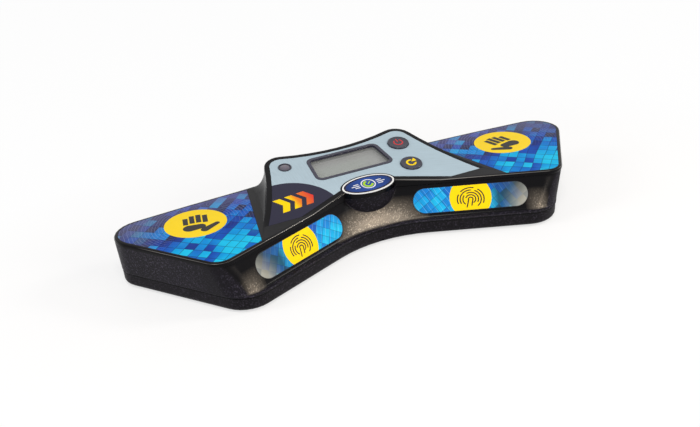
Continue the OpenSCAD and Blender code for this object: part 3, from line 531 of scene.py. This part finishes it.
def window_finish():
    """Clear window with a faint haze."""
    f = Finish("clear_window", alpha=0.16, ior=1.49, specular_ior_level=0.5)
    place = f.place(DECK)
    haze = f.noise(place, 0.12, 2.0)
    f.feed(base_color=f.mix((0.70, 0.74, 0.74), (0.82, 0.86, 0.86), haze),
           roughness=0.03 + haze * 0.03)
    f.material.surface_render_method = "BLENDED"
    return f.material


def lens_finish(look):
    """Smoky lens with fine ribs, darker towards its edge."""
    f = Finish("smoky_lens", coat_weight=0.4, coat_roughness=0.04, subsurface_weight=0.15,
               subsurface_scale=0.001)
    place = f.place(DECK @ shift(*LIGHT))
    u, v = f.parts(place)[:2]
    depth = distance(u, v) * (1 / 3.2)
    ribs = ((u * 1.6).fraction() - 0.5) * ((v * 1.6).fraction() - 0.5)
    f.feed(base_color=f.mix(shade(look.lens, 1.25), shade(look.lens, 0.6), depth + ribs * 0.3),
           roughness=0.16 + depth * 0.06)
    f.bump(ribs, 0.01)
    return f.material


def board_finish():
    """Green solder mask with copper tracks under it."""
    f = Finish("solder_mask", coat_weight=0.3, coat_roughness=0.1)
    place = f.place(DECK)
    u, v, w = f.parts(place)
    along = (f.noise(f.point(u * 0.08, v * 0.5, w), 1.0, 2.0) * 14.0).fraction()
    cross = (f.noise(f.point(u * 0.5, v * 0.08, w), 1.0, 2.0) * 12.0).fraction()
    track = along.within(0.35, 0.6).either(cross.within(0.4, 0.6))
    speck = f.noise(place, 3.0, 2.0)
    f.feed(base_color=f.mix((0.006, 0.07, 0.025), (0.02, 0.16, 0.06), track * 0.8 + speck * 0.2),
           roughness=0.35 + speck * 0.1)
    f.bump(track, 0.03)
    return f.material


def cell_finish():
    """Plain dark sleeve of a cell, with a pale band at both ends."""
    f = Finish("cell_sleeve", metallic=0.6)
    place = f.place()
    x = f.parts(place)[0]
    fine = f.noise(place, 1.6, 3.0)
    sleeve = f.mix((0.05, 0.055, 0.06), (0.09, 0.095, 0.10), fine)
    f.feed(base_color=f.mix(sleeve, (0.62, 0.60, 0.55), abs(x).over(20.6, 0.2)),
           roughness=0.3 + fine * 0.1)
    f.bump(fine, 0.006)
    return f.material


def lead_finish(name, colour):
    """Soft insulation with a faint twist."""
    f = Finish(name)
    place = f.place()
    x, y, z = f.parts(place)
    twist = ((x + y + z) * 1.3).math("SINE") * 0.5 + 0.5
    fine = f.noise(place, 2.2, 2.0)
    f.feed(base_color=f.mix(shade(colour, 0.85), shade(colour, 1.1), twist * 0.5 + fine * 0.5),
           roughness=0.45 + fine * 0.12)
    f.bump(twist, 0.01)
    return f.material


# ---- shaping --------------------------------------------------------------------------------
def closed_up(bm):
    """Merges points that meet and turns every face outwards."""
    bmesh.ops.remove_doubles(bm, verts=bm.verts, dist=1e-4)
    bmesh.ops.recalc_face_normals(bm, faces=bm.faces)


def smooth_out(bm, angle):
    """Smooth faces, with the edges kept sharp where they turn by more than the angle."""
    for face in bm.faces:
        face.smooth = True
    for edge in bm.edges:
        edge.smooth = len(edge.link_faces) == 2 and edge.calc_face_angle(0.0) < angle


def into_scene(name, bm, finish, body, replaces=()):
    """Makes the scene's object of a shape, on its body."""
    mesh = bpy.data.meshes.new(name)
    bm.to_mesh(mesh)
    bm.free()
    mesh.materials.append(finish)
    made = bpy.data.objects.new(name, mesh)
    bpy.context.scene.collection.objects.link(made)
    even = made.modifiers.new("even_normals", "WEIGHTED_NORMAL")
    even.keep_sharp = True
    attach(made, body)
    if replaces:
        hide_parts(*replaces)
    return made


def piece(name, build, place, finish, body, replaces=(), angle=SHARP):
    """A new piece: build shapes it in millimetres in the frame that place puts in the scene."""
    bm = bmesh.new()
    build(bm)
    closed_up(bm)
    bmesh.ops.transform(bm, matrix=Matrix.Scale(MM, 4) @ place, verts=bm.verts)
    smooth_out(bm, angle)
    return into_scene(name, bm, finish, body, replaces)


def lift_seam(bm):
    """Shows the seam a little higher up the walls: its two edges and the step between them."""
    below, above = 0.35, 1.45
    for v in bm.verts:
        if SEAM - below < v.co.z / MM < SEAM + above:
            v.co.z += (SEAM_SHOWN - SEAM) * MM


def round_rim(bm):
    """Widens the rounding of the wings' top edge: each ring goes to its height and inset.

    A point's way out leads to the wall under it. On the wall itself, the ring above gives it."""
    same_level, near, rise, least, most_summed = 0.012, 0.75, 0.7, 0.05, 9
    wall_level = RIM_RINGS[0][0]
    walls = [v.co.copy() for v in bm.verts if abs(v.co.z / MM - wall_level) < same_level]
    for level, height, inset in reversed(RIM_RINGS):
        on_wall = level == wall_level
        for v in bm.verts:
            if abs(v.co.z / MM - level) > same_level:
                continue
            wall = min(walls, key=lambda p: (p.xy - v.co.xy).length)
            way = (wall.xy - v.co.xy) / MM
            if on_wall:
                inner = [p for p in bm.verts if 0 < (p.co.z - v.co.z) / MM < rise
                         and (p.co.xy - v.co.xy).length < near * MM]
                way = sum(((v.co.xy - p.co.xy) / MM for p in inner), Vector((0, 0)))
            if not least < way.length < (most_summed if on_wall else near):
                continue
            v.co.xy = wall.xy - way.normalized() * inset * MM
            v.co.z = height * MM


def draft_boss(bm):
    """Draws the foot of the upright oval boss in, so that its wall leans, and shifts it up.

    The foot slides up the scoop's face. The points of the hollow behind it only move in."""
    foot, neck, back, hollow_shift = 10.5, 25.4, 1.0, 2.9
    for v in bm.verts:
        x, y, z = v.co / MM
        reach = math.hypot(x / BOSS_HALF_LONG, (y - BOSS_Y) / BOSS_HALF_DEEP)
        if not 0.6 < reach < 1.004 or not foot < z < neck or y > back:
            continue
        inward = -Vector((x / BOSS_HALF_LONG ** 2, (y - BOSS_Y) / BOSS_HALF_DEEP ** 2)).normalized()
        if reach < 0.99:
            v.co += Vector((*inward, 0)) * hollow_shift * MM
            continue
        bend = SWEEP * min(1.0, abs(x) / SCOOP_TURN)
        side = math.copysign(math.sin(bend), x)
        climb = math.cos(LEAN) * (side * inward.x + math.cos(bend) * inward.y) / math.sin(LEAN)
        draw = BOSS_DRAFT * (BOSS_NECK - z) / (1 + BOSS_DRAFT * climb)
        v.co += Vector((inward.x * draw, inward.y * draw, climb * draw)) * MM


def dressed(node, name, finish, body="case", edge=0.0, angle=SHARP, shaping=()):
    """A merged, smoothly shaded copy of a node, with its sharp edges eased where edge is given."""
    bm = bmesh.new()
    bm.from_mesh(NODES[node].data)
    bmesh.ops.remove_doubles(bm, verts=bm.verts, dist=2e-6)
    for shape in shaping:
        shape(bm)
    if edge:
        bmesh.ops.dissolve_limit(bm, angle_limit=math.radians(0.4), verts=bm.verts, edges=bm.edges)
        sharp = [e for e in bm.edges if len(e.link_faces) == 2 and e.calc_face_angle(0.0) > angle]
        bmesh.ops.bevel(bm, geom=sharp, offset=edge * MM, offset_type="OFFSET", affect="EDGES",
                        segments=2, profile=0.5, material=-1, clamp_overlap=True)
    smooth_out(bm, angle)
    return into_scene(name, bm, finish, body, [node])


def finished(node, finish):
    """A node whose shape stays gets its finish."""
    data = NODES[node].data
    data.materials.clear()
    data.materials.append(finish)


def turned(bm, profile, ring=False, steps=96):
    """A profile of (radius, height) spun about Z. A ring's profile closes on itself."""
    verts = [bm.verts.new((r, 0, h)) for r, h in profile]
    edges = [bm.edges.new(pair) for pair in zip(verts, verts[1:])]
    if ring:
        edges.append(bm.edges.new((verts[-1], verts[0])))
    bmesh.ops.spin(bm, geom=verts + edges, cent=(0, 0, 0), axis=(0, 0, 1), angle=2 * math.pi,
                   steps=steps, use_merge=True)


def ribbon(bm, radius, width, low, high, start, end, place=None, stretch=1.0):
    """A flat band along an arc from start to end degrees, with closed ends."""
    inner, outer = radius - width / 2, radius + width / 2
    corners = ((inner, low), (outer, low), (outer, high), (inner, high))
    verts = [bm.verts.new((r, 0, h)) for r, h in corners]
    edges = [bm.edges.new((verts[i], verts[(i + 1) % 4])) for i in range(4)]
    bmesh.ops.rotate(bm, verts=verts, cent=(0, 0, 0), matrix=turn(start).to_3x3())
    before = set(bm.verts) - set(verts)
    bmesh.ops.spin(bm, geom=verts + edges, cent=(0, 0, 0), axis=(0, 0, 1),
                   angle=math.radians(end - start), steps=max(6, int((end - start) / 6)))
    made = [v for v in bm.verts if v not in before]
    ends = [e for v in made for e in v.link_edges if e.is_boundary]
    bmesh.ops.holes_fill(bm, edges=list(set(ends)), sides=4)
    bmesh.ops.scale(bm, vec=(1, stretch, 1), verts=made)
    if place:
        bmesh.ops.transform(bm, matrix=place, verts=made)


def raised(bm, flat, low, high, ease=0.0):
    """Turns flat faces at Z = 0 into a plate from low to high, with an eased top edge."""
    out = bmesh.ops.extrude_face_region(bm, geom=flat)
    top = [g for g in out["geom"] if isinstance(g, bmesh.types.BMVert)]
    bmesh.ops.translate(bm, verts=top, vec=(0, 0, high - low))
    bottom = {v for f in flat for v in f.verts}
    bmesh.ops.translate(bm, verts=list(bottom) + top, vec=(0, 0, low))
    if ease:
        faces = [g for g in out["geom"] if isinstance(g, bmesh.types.BMFace)]
        rim = [e for f in faces for e in f.edges if sum(o in faces for o in e.link_faces) == 1]
        bmesh.ops.bevel(bm, geom=list(set(rim)), offset=ease, offset_type="OFFSET",
                        affect="EDGES", segments=2, profile=0.5, material=-1)


def oval(bm, a, b, low, high, ease=0.0, steps=96):
    """An oval plate with the half axes a and b."""
    ring = bmesh.ops.create_circle(bm, cap_ends=True, radius=1.0, segments=steps)
    bmesh.ops.scale(bm, vec=(a, b, 1), verts=ring["verts"])
    raised(bm, list(ring["verts"][0].link_faces), low, high, ease)


def bar(bm, start, end, width, low, high, place=None, end_width=None):
    """A bar with round ends from start to end."""
    a, b = Vector(start), Vector(end)
    run = b - a
    before = set(bm.verts)
    ring = bmesh.ops.create_circle(bm, cap_ends=True, radius=width / 2, segments=32)
    far = [v for v in ring["verts"] if v.co.x > 1e-6]
    if end_width:
        bmesh.ops.scale(bm, vec=(end_width / width,) * 3, verts=far)
    bmesh.ops.translate(bm, verts=far, vec=(run.length, 0, 0))
    spot = shift(a.x, a.y) @ Matrix.Rotation(math.atan2(run.y, run.x), 4, "Z")
    bmesh.ops.transform(bm, matrix=spot, verts=ring["verts"])
    raised(bm, list(ring["verts"][0].link_faces), low, high)
    if place:
        bmesh.ops.transform(bm, matrix=place, verts=[v for v in bm.verts if v not in before])


def plate(bm, outline, low, high):
    """A plate with straight sides."""
    raised(bm, [bm.faces.new([bm.verts.new((x, y, 0)) for x, y in outline])], low, high)


# ---- values a user may change -----------------------------------------------------------------
def place_value(name, description, default, **limits):
    return FloatProperty(name=name, description=description, default=default * MM, unit="LENGTH",
                         precision=5, **limits)


def length(name, description, default):
    return place_value(name, description, default, min=0.0)


def colour(name, description, default):
    return FloatVectorProperty(name=name, description=description, default=default, size=3,
                               min=0.0, max=1.0, subtype="COLOR")


class TIMER_PG_look(bpy.types.PropertyGroup):
    """Sizes and colours of the timer's printed and moulded details"""

    print_height: length("Print height", "Height of the raised signs", 0.06)
    tile: length("Tile", "Width of a palm pad's printed tiles", 5.0)
    diamond: length("Diamond", "Width of a finger pad's printed diamonds", 4.6)
    dish: length("Dish", "Depth of the hollow in a button's top", 0.14)
    sign_line: length("Sign line", "Width of the lines of the button signs", 0.95)
    ridge: length("Ridge", "Width of a line of the finger sign", 0.66)
    ridge_step: length("Ridge step", "Distance between the lines of the finger sign", 1.55)
    field_x: place_value("Field across", "Middle of the panel's dark field, across", -48.0)
    field_v: place_value("Field along", "Middle of the panel's dark field, along the deck", 6.0)
    field_radius: length("Field radius", "Radius of the panel's dark field", 26.8)
    ridges: IntProperty(name="Ridges", description="Lines of the finger sign", default=5, min=2,
                        max=6)
    shell: colour("Upper housing", "Black of the upper housing", (0.0095, 0.0084, 0.0125))
    base: colour("Lower housing", "Black of the lower housing", (0.0105, 0.0090, 0.0130))
    panel: colour("Panel", "Pale print of the console", (0.42, 0.535, 0.615))
    navy: colour("Dark print", "Dark field and sign grounds", (0.021, 0.020, 0.042))
    yellow: colour("Yellow print", "Discs of the pads", (0.93, 0.66, 0.006))
    sign: colour("Sign", "Dark ink of the signs", (0.030, 0.028, 0.026))
    red: colour("Red print", "Sign of the power button", (0.58, 0.05, 0.055))
    display: colour("Display", "Glass of the display", (0.140, 0.165, 0.148))
    lens: colour("Lens", "Lens of the status light", (0.095, 0.080, 0.115))
    badge: colour("Badge", "Field of the badge", (0.02, 0.06, 0.27))


def look_of(context):
    return context.scene.timer_look


class Step:
    """What every operator of this file shares"""

    bl_options = {"REGISTER", "UNDO"}


# ---- operators ----------------------------------------------------------------------------------
class TIMER_OT_stage(Step, bpy.types.Operator):
    """Pale floor, soft light and the camera"""

    bl_idname = "timer.stage"
    bl_label = "Stage"

    def execute(self, context):
        scene = context.scene
        scene.view_settings.view_transform = "Standard"
        self.camera(scene)
        self.floor(scene)
        self.world(scene)
        for name, place, aim, size, power, tint in LAMPS:
            light = bpy.data.lights.new(name, "AREA")
            light.shape, light.size, light.size_y = "RECTANGLE", *size
            light.energy, light.color = power, tint
            lamp = bpy.data.objects.new(name, light)
            lamp.location = place
            lamp.rotation_euler = (Vector(aim) - Vector(place)).to_track_quat("-Z", "Y").to_euler()
            scene.collection.objects.link(lamp)
        return {"FINISHED"}

    def camera(self, scene):
        yaw, rise, roll = (math.radians(angle) for angle in CAMERA_TURN)
        back = Vector((math.sin(yaw) * math.cos(rise), -math.cos(yaw) * math.cos(rise),
                       math.sin(rise)))
        right = Vector((0, 0, 1)).cross(back).normalized()
        up = back.cross(right)
        axes = (math.cos(roll) * right + math.sin(roll) * up,
                -math.sin(roll) * right + math.cos(roll) * up, back)
        data = bpy.data.cameras.new("camera")
        data.lens, data.sensor_width, data.clip_end = 53.52, 36.0, 20.0
        camera = bpy.data.objects.new("camera", data)
        camera.matrix_world = Matrix(axes).transposed().to_4x4()
        camera.location = Vector(CAMERA_AIM) + back * CAMERA_AWAY
        scene.collection.objects.link(camera)
        scene.camera = camera

    def floor(self, scene):
        """Pale floor: it shades round the object, glows further out and is clear from below."""
        bm = bmesh.new()
        bmesh.ops.create_grid(bm, x_segments=4, y_segments=4, size=4.0)
        mesh = bpy.data.meshes.new("floor")
        bm.to_mesh(mesh)
        bm.free()
        f = Finish("pale_floor", roughness=0.5, specular_ior_level=0.2)
        place = f.place(shift(0, 5))
        f.feed(base_color=f.mix((0.97, 0.97, 0.985), (0.99, 0.99, 1.0), f.noise(place, 0.01)))
        x, y = f.parts(place)[:2]
        half_long, half_deep = 235, 150
        away = distance(x * (1 / half_long), y * (1 / half_deep)).over(1.0, 0.5)
        camera, glossy, through = (f.node("ShaderNodeLightPath", {}, {}, ray) for ray in SEEN_RAYS)
        glow = (camera + glossy + through).math("MINIMUM", 1.0) * (0.66 + away * 0.29)
        white = f.node("ShaderNodeEmission", {}, {0: (1.0, 1.0, 1.0), 1: 1.0})
        shaded = Value(f, f.shader.outputs[0])
        above = f.node("ShaderNodeMixShader", {}, {0: glow, 1: shaded, 2: white})
        below = f.node("ShaderNodeNewGeometry", {}, {}, "Backfacing")
        clear = f.node("ShaderNodeBsdfTransparent", {}, {})
        both = f.node("ShaderNodeMixShader", {}, {0: below, 1: above, 2: clear})
        output = next(n for n in f.tree.nodes if n.type == "OUTPUT_MATERIAL")
        f.tree.links.new(both.socket, output.inputs[0])
        mesh.materials.append(f.material)
        floor = bpy.data.objects.new("floor", mesh)
        scene.collection.objects.link(floor)

    def world(self, scene):
        """White world, dimmer for the light that it throws than for what is seen of it."""
        world = bpy.data.worlds.new("soft_white")
        world.use_nodes = True
        scene.world = world
        tree = world.node_tree
        back = tree.nodes["Background"]
        path = tree.nodes.new("ShaderNodeLightPath")
        seen = path.outputs[SEEN_RAYS[0]]
        for ray in SEEN_RAYS[1:]:
            add = tree.nodes.new("ShaderNodeMath")
            add.operation, add.use_clamp = "ADD", True
            tree.links.new(seen, add.inputs[0])
            tree.links.new(path.outputs[ray], add.inputs[1])
            seen = add.outputs[0]
        level = tree.nodes.new("ShaderNodeMapRange")
        level.inputs["To Min"].default_value = 0.30
        level.inputs["To Max"].default_value = 1.0
        tree.links.new(seen, level.inputs["Value"])
        back.inputs["Color"].default_value = (1.0, 1.0, 1.0, 1.0)
        tree.links.new(level.outputs[0], back.inputs["Strength"])


class TIMER_OT_housing(Step, bpy.types.Operator):
    """Upper and lower housing and the battery door"""

    bl_idname = "timer.housing"
    bl_label = "Housing"

    def execute(self, context):
        look = look_of(context)
        grained = base_finish(look)
        dressed("upper_shell", "upper_housing", housing_finish(look),
                shaping=(lift_seam, round_rim, draft_boss))
        dressed("base_shell", "lower_housing", grained, shaping=(lift_seam,))
        dressed("battery_door", "door_cover", grained, "battery_door")
        return {"FINISHED"}


class TIMER_OT_console(Step, bpy.types.Operator):
    """Face panel, and the display with its frame and window"""

    bl_idname = "timer.console"
    bl_label = "Console"

    def execute(self, context):
        look = look_of(context)
        dressed("face_panel", "panel_print", panel_finish(look))
        dressed("lcd_bezel", "display_frame",
                moulded("navy_trim", look.navy, 0.28, depth=0.008), edge=0.12)
        finished("lcd_window", window_finish())
        finished("lcd_glass", display_finish(look))
        finished("lcd_reflector", moulded("reflector_sheet", (0.75, 0.75, 0.72), 0.5, depth=0.01))
        finished("zebra_strips", moulded("contact_strip", (0.62, 0.30, 0.34), 0.6, depth=0.05))
        return {"FINISHED"}


class TIMER_OT_buttons(Step, bpy.types.Operator):
    """Push buttons with their signs, plungers and switches"""

    bl_idname = "timer.buttons"
    bl_label = "Buttons"

    def execute(self, context):
        look = look_of(context)
        cap = moulded("button_gloss", shade(look.navy, 0.8), 0.24, depth=0.006)
        red = ink_finish("red_sign", look.red)
        yellow = ink_finish("yellow_sign", look.yellow)
        dish, high = look.dish / MM, look.print_height / MM
        crown = 0.9
        profile = [(0, -4.6), (2.2, -4.6), (2.2, -3.9), (7.3, -3.9), (7.3, -3.1), (6.2, -3.1),
                   (6.2, 0.5), (6.15, 0.68), (6.02, 0.82), (5.8, crown), (5.6, crown),
                   (5.3, crown - dish * 0.3), (4.6, crown - dish * 0.75), (3.4, crown - dish),
                   (0, crown - dish)]
        low, top = crown - dish - 0.3, crown - dish + high
        line = look.sign_line / MM
        for name, spot, sign, ink in (("power", POWER, self.power, red),
                                      ("reset", RESET, self.reset, yellow)):
            place = DECK @ shift(*spot)
            body = name + "_button"
            piece(name + "_cap", lambda bm: turned(bm, profile), place, cap, body,
                  [body])
            piece(name + "_sign", lambda bm: sign(bm, line, low, top), place, ink, body)
        black = moulded("switch_black", (0.03, 0.03, 0.032), 0.4)
        for name in ("power_plunger", "reset_plunger", "power_switch", "reset_switch"):
            finished(name, black)
        return {"FINISHED"}

    def power(self, bm, line, low, top):
        ribbon(bm, 2.55, line * 0.8, low, top, 125, 415)
        bar(bm, (0, 0.9), (0, 3.2), line * 0.8, low, top)

    def reset(self, bm, line, low, top):
        ribbon(bm, 2.45, line * 1.15, low, top, 62, 345)
        plate(bm, [(0.55, 0.75), (3.75, 0.75), (3.0, 3.6)], low, top)


class TIMER_OT_status_light(Step, bpy.types.Operator):
    """Status light: dark ring, smoky lens and its lamp"""

    bl_idname = "timer.status_light"
    bl_label = "Status light"

    def execute(self, context):
        look = look_of(context)
        place = DECK @ shift(*LIGHT)
        ring = [(3.02, -2.95), (3.85, -2.95), (3.85, 0.2), (3.78, 0.34), (3.6, 0.42),
                (3.3, 0.42), (3.12, 0.34), (3.02, 0.15)]
        lens = [(0, -3.8), (4.65, -3.8), (4.65, -3.0), (3.0, -3.0), (3.0, 0.02), (2.8, 0.18),
                (2.3, 0.32), (1.5, 0.43), (0.7, 0.48), (0, 0.5)]
        piece("light_ring", lambda bm: turned(bm, ring, ring=True), place,
              moulded("ring_gloss", shade(look.navy, 0.8), 0.25, depth=0.006), "case")
        piece("light_lens", lambda bm: turned(bm, lens), place, lens_finish(look), "case",
              ["status_lens"])
        finished("status_led", moulded("red_epoxy", (0.5, 0.05, 0.04), 0.25, depth=0.01))
        return {"FINISHED"}


class TIMER_OT_badge(Step, bpy.types.Operator):
    """Oval badge: white border, blue field, and a ring with a sweep between plain bars"""

    bl_idname = "timer.badge"
    bl_label = "Badge"

    def execute(self, context):
        look = look_of(context)
        place = DECK @ shift(*BOSS)
        white = ink_finish("white_print", (0.82, 0.83, 0.84), 0.3)
        lime = ink_finish("lime_print", (0.38, 0.62, 0.03), 0.32)
        piece("badge_border", lambda bm: oval(bm, 15.5, 7.9, -0.6, 0.16, 0.1), place, white,
              "case", ["oval_badge"])
        piece("badge_ground", lambda bm: oval(bm, 14.55, 6.95, 0.0, 0.19, 0.03), place,
              ink_finish("navy_print", look.navy, 0.3), "case")
        stops = ((0.0, shade(look.badge, 0.6)), (0.5, shade(look.badge, 1.25)),
                 (1.0, shade(look.badge, 0.6)))
        piece("badge_field", self.field, place,
              blend_finish("blue_print", place, stops, -13.0, 13.0, 0.25), "case")
        piece("badge_ring", self.ring, place, white, "case")
        piece("badge_sweep", self.sweep, place, lime, "case")
        return {"FINISHED"}

    def field(self, bm):
        oval(bm, 13.4, 5.9, 0.0, 0.22, 0.03)

    def ring(self, bm):
        ribbon(bm, 3.9, 0.62, 0.1, 0.27, 0, 360)
        for side in (-1, 1):
            for row, run in ((-1.5, 2.6), (0.0, 4.2), (1.5, 2.6)):
                bar(bm, (side * 5.6, row), (side * (5.6 + run), row), 0.62, 0.1, 0.26)

    def sweep(self, bm):
        ribbon(bm, 2.35, 1.3, 0.1, 0.28, 95, 350)
        bar(bm, (0, 0), (1.6, 1.6), 0.6, 0.1, 0.28)


class TIMER_OT_panel_sign(Step, bpy.types.Operator):
    """Three chevrons in the panel's dark field"""

    bl_idname = "timer.panel_sign"
    bl_label = "Panel sign"

    def execute(self, context):
        look = look_of(context)
        place = DECK @ shift(-43.8, 14.2) @ turn(6)
        stops = ((0.0, look.yellow[:]), (0.42, look.yellow[:]), (0.6, (0.80, 0.22, 0.02)),
                 (1.0, (0.68, 0.045, 0.035)))
        ink = blend_finish("warm_print", place, stops, -10.5, 11.5)
        high = look.print_height / MM
        piece("panel_chevrons", lambda bm: self.chevrons(bm, high), place, ink, "case")
        return {"FINISHED"}

    def chevrons(self, bm, high):
        for x in (-9.8, -2.6, 4.6):
            outline = [(x, -6.0), (x + 4.3, -6.0), (x + 7.5, 0), (x + 4.3, 6.0), (x, 6.0),
                       (x + 3.2, 0)]
            plate(bm, outline, -0.05, high)


class TIMER_OT_palm_pads(Step, bpy.types.Operator):
    """Palm pads: tile print, yellow discs and hand signs"""

    bl_idname = "timer.palm_pads"
    bl_label = "Palm pads"

    def execute(self, context):
        look = look_of(context)
        yellow = ink_finish("yellow_print", look.yellow, 0.34)
        dark = ink_finish("sign_print", look.sign, 0.4)
        high = look.print_height / MM
        for side in (-1, 1):
            name, place = side_name(side), palm_place(side)
            finished(name + "_palm_overlay", palm_finish(side, look))
            piece(name + "_palm_disc", lambda bm: oval(bm, 16.7, 16.7, -0.1, high, 0.02, 128),
                  place, yellow, "case")
            piece(name + "_palm_sign", lambda bm: self.hand(bm, high * 0.6, high * 1.8, side),
                  place @ turn(side * 14) @ shift(0, -1.0), dark, "case")
        return {"FINISHED"}

    def hand(self, bm, low, high, side):
        """Four fingers, each with its middle, root and tip, then the palm and the thumb."""
        half = 1.35
        fingers = ((5.2, 0.2, 8.0), (1.7, 1.2, 10.4), (-1.8, 1.4, 11.0), (-5.3, 0.8, 9.8))
        for x, root, tip in fingers:
            left, right = x - half, x + half
            plate(bm, [(left, root), (right, root), (right, tip), (left, tip)], low, high)
        bar(bm, (3.4, -4.4), (-2.4, -3.6), 7.2, low, high, end_width=5.6)
        bar(bm, (-4.4, -8.2), (-11.2, -2.4), 4.6, low, high, end_width=2.9)
        bmesh.ops.scale(bm, vec=(side, 1, 1), verts=bm.verts)


class TIMER_OT_finger_pads(Step, bpy.types.Operator):
    """Finger pads: diamond print, yellow discs and finger signs"""

    bl_idname = "timer.finger_pads"
    bl_label = "Finger pads"

    def execute(self, context):
        look = look_of(context)
        yellow = ink_finish("yellow_pad_print", look.yellow, 0.3)
        dark = ink_finish("sign_pad_print", look.sign, 0.4)
        high = look.print_height / MM
        for side in (-1, 1):
            name, place = side_name(side), pad_place(side)
            finished(name + "_finger_pad", finger_finish(side, look))
            piece(name + "_finger_disc", lambda bm: self.disc(bm, high), place, yellow,
                  "case")
            piece(name + "_finger_sign",
                  lambda bm: self.ridges(bm, look, high * 0.6, high * 1.8), place, dark,
                  "case")
        return {"FINISHED"}

    def disc(self, bm, high):
        """A disc cut level above and below, inside the pad's dark border."""
        bmesh.ops.create_circle(bm, cap_ends=True, radius=11.7, segments=128)
        reach = PAD_HEIGHT / 2 - 0.32
        for side in (-1, 1):
            every = list(bm.verts) + list(bm.edges) + list(bm.faces)
            bmesh.ops.bisect_plane(bm, geom=every, plane_co=(0, side * reach, 0),
                                   plane_no=(0, side, 0), clear_outer=True)
        raised(bm, list(bm.faces), -0.1, high, 0.02)

    def ridges(self, bm, look, low, high):
        """Broken arcs round one another, each with its ring, start and end, and two feet."""
        line, step = look.ridge / MM, look.ridge_step / MM
        low_middle, flat = -1.0, 0.86
        arcs = ((0, -20, 200), (1, -60, 160), (2, -30, 118), (2, 142, 226), (3, -52, 66),
                (3, 84, 206), (4, -24, 56), (4, 74, 136), (4, 152, 200))
        for ring, start, end in arcs:
            if ring < look.ridges:
                ribbon(bm, step * (ring + 0.8), line, low, high, start, end,
                       shift(0, low_middle), flat)
        for side, foot in ((-1, (-2.3, -5.2)), (1, (0.4, -4.4))):
            bar(bm, (side * step * 0.8 * 0.94, low_middle - 0.3), foot, line, low, high)


class TIMER_OT_fasteners(Step, bpy.types.Operator):
    """Rubber feet and screws"""

    bl_idname = "timer.fasteners"
    bl_label = "Feet and screws"

    def execute(self, context):
        dressed("rubber_feet", "soft_feet", moulded("soft_rubber", (0.02, 0.02, 0.02), 0.75,
                grain=1.2, depth=0.05))
        steel = brushed("plated_steel", (0.52, 0.52, 0.54), 0.32, 2)
        for node in ("case_screws", "board_screws"):
            finished(node, steel)
        return {"FINISHED"}


class TIMER_OT_inner_parts(Step, bpy.types.Operator):
    """Sensors, board, data jack, cells and leads"""

    bl_idname = "timer.inner_parts"
    bl_label = "Inner parts"

    def execute(self, context):
        copper = brushed("copper_foil", (0.78, 0.42, 0.26), 0.35)
        for node in ("left_palm_sensor", "right_palm_sensor", "left_finger_sensor",
                     "right_finger_sensor"):
            finished(node, copper)
        bright = brushed("spring_steel", (0.66, 0.66, 0.68), 0.25)
        for node in ("battery_springs", "battery_contacts", "crystal"):
            finished(node, bright)
        finished("main_board", board_finish())
        finished("controller_chip", moulded("chip_epoxy", (0.018, 0.018, 0.02), 0.55, depth=0.02))
        finished("capacitors", moulded("can_sleeve", (0.03, 0.045, 0.16), 0.35, depth=0.01))
        finished("battery_cells", cell_finish())
        dressed("data_jack", "jack_socket", moulded("jack_black", (0.02, 0.02, 0.022), 0.35,
                depth=0.015))
        finished("sensor_leads", lead_finish("red_lead", (0.50, 0.03, 0.03)))
        finished("battery_leads", lead_finish("dark_red_lead", (0.40, 0.02, 0.02)))
        finished("jack_leads", lead_finish("yellow_lead", (0.75, 0.55, 0.05)))
        return {"FINISHED"}


STEPS = (TIMER_OT_stage, TIMER_OT_housing, TIMER_OT_console, TIMER_OT_buttons,
         TIMER_OT_status_light, TIMER_OT_badge, TIMER_OT_panel_sign, TIMER_OT_palm_pads,
         TIMER_OT_finger_pads, TIMER_OT_fasteners, TIMER_OT_inner_parts)


class TIMER_PT_steps(bpy.types.Panel):
    """The timer's pieces, in the order in which they are made"""

    bl_idname = "TIMER_PT_steps"
    bl_label = "Speed cube timer"
    bl_space_type = "VIEW_3D"
    bl_region_type = "UI"
    bl_category = "Timer"

    def draw(self, context):
        for step in STEPS:
            self.layout.operator(step.bl_idname)
        for name in TIMER_PG_look.__annotations__:
            self.layout.prop(look_of(context), name)


def register():
    for kind in (TIMER_PG_look, *STEPS, TIMER_PT_steps):
        bpy.utils.register_class(kind)
    bpy.types.Scene.timer_look = PointerProperty(type=TIMER_PG_look)


def unregister():
    del bpy.types.Scene.timer_look
    for kind in reversed((TIMER_PG_look, *STEPS, TIMER_PT_steps)):
        bpy.utils.unregister_class(kind)


def main():
    register()
    for step in STEPS:
        group, name = step.bl_idname.split(".")
        getattr(getattr(bpy.ops, group), name)()


if __name__ == "__main__":
    main()
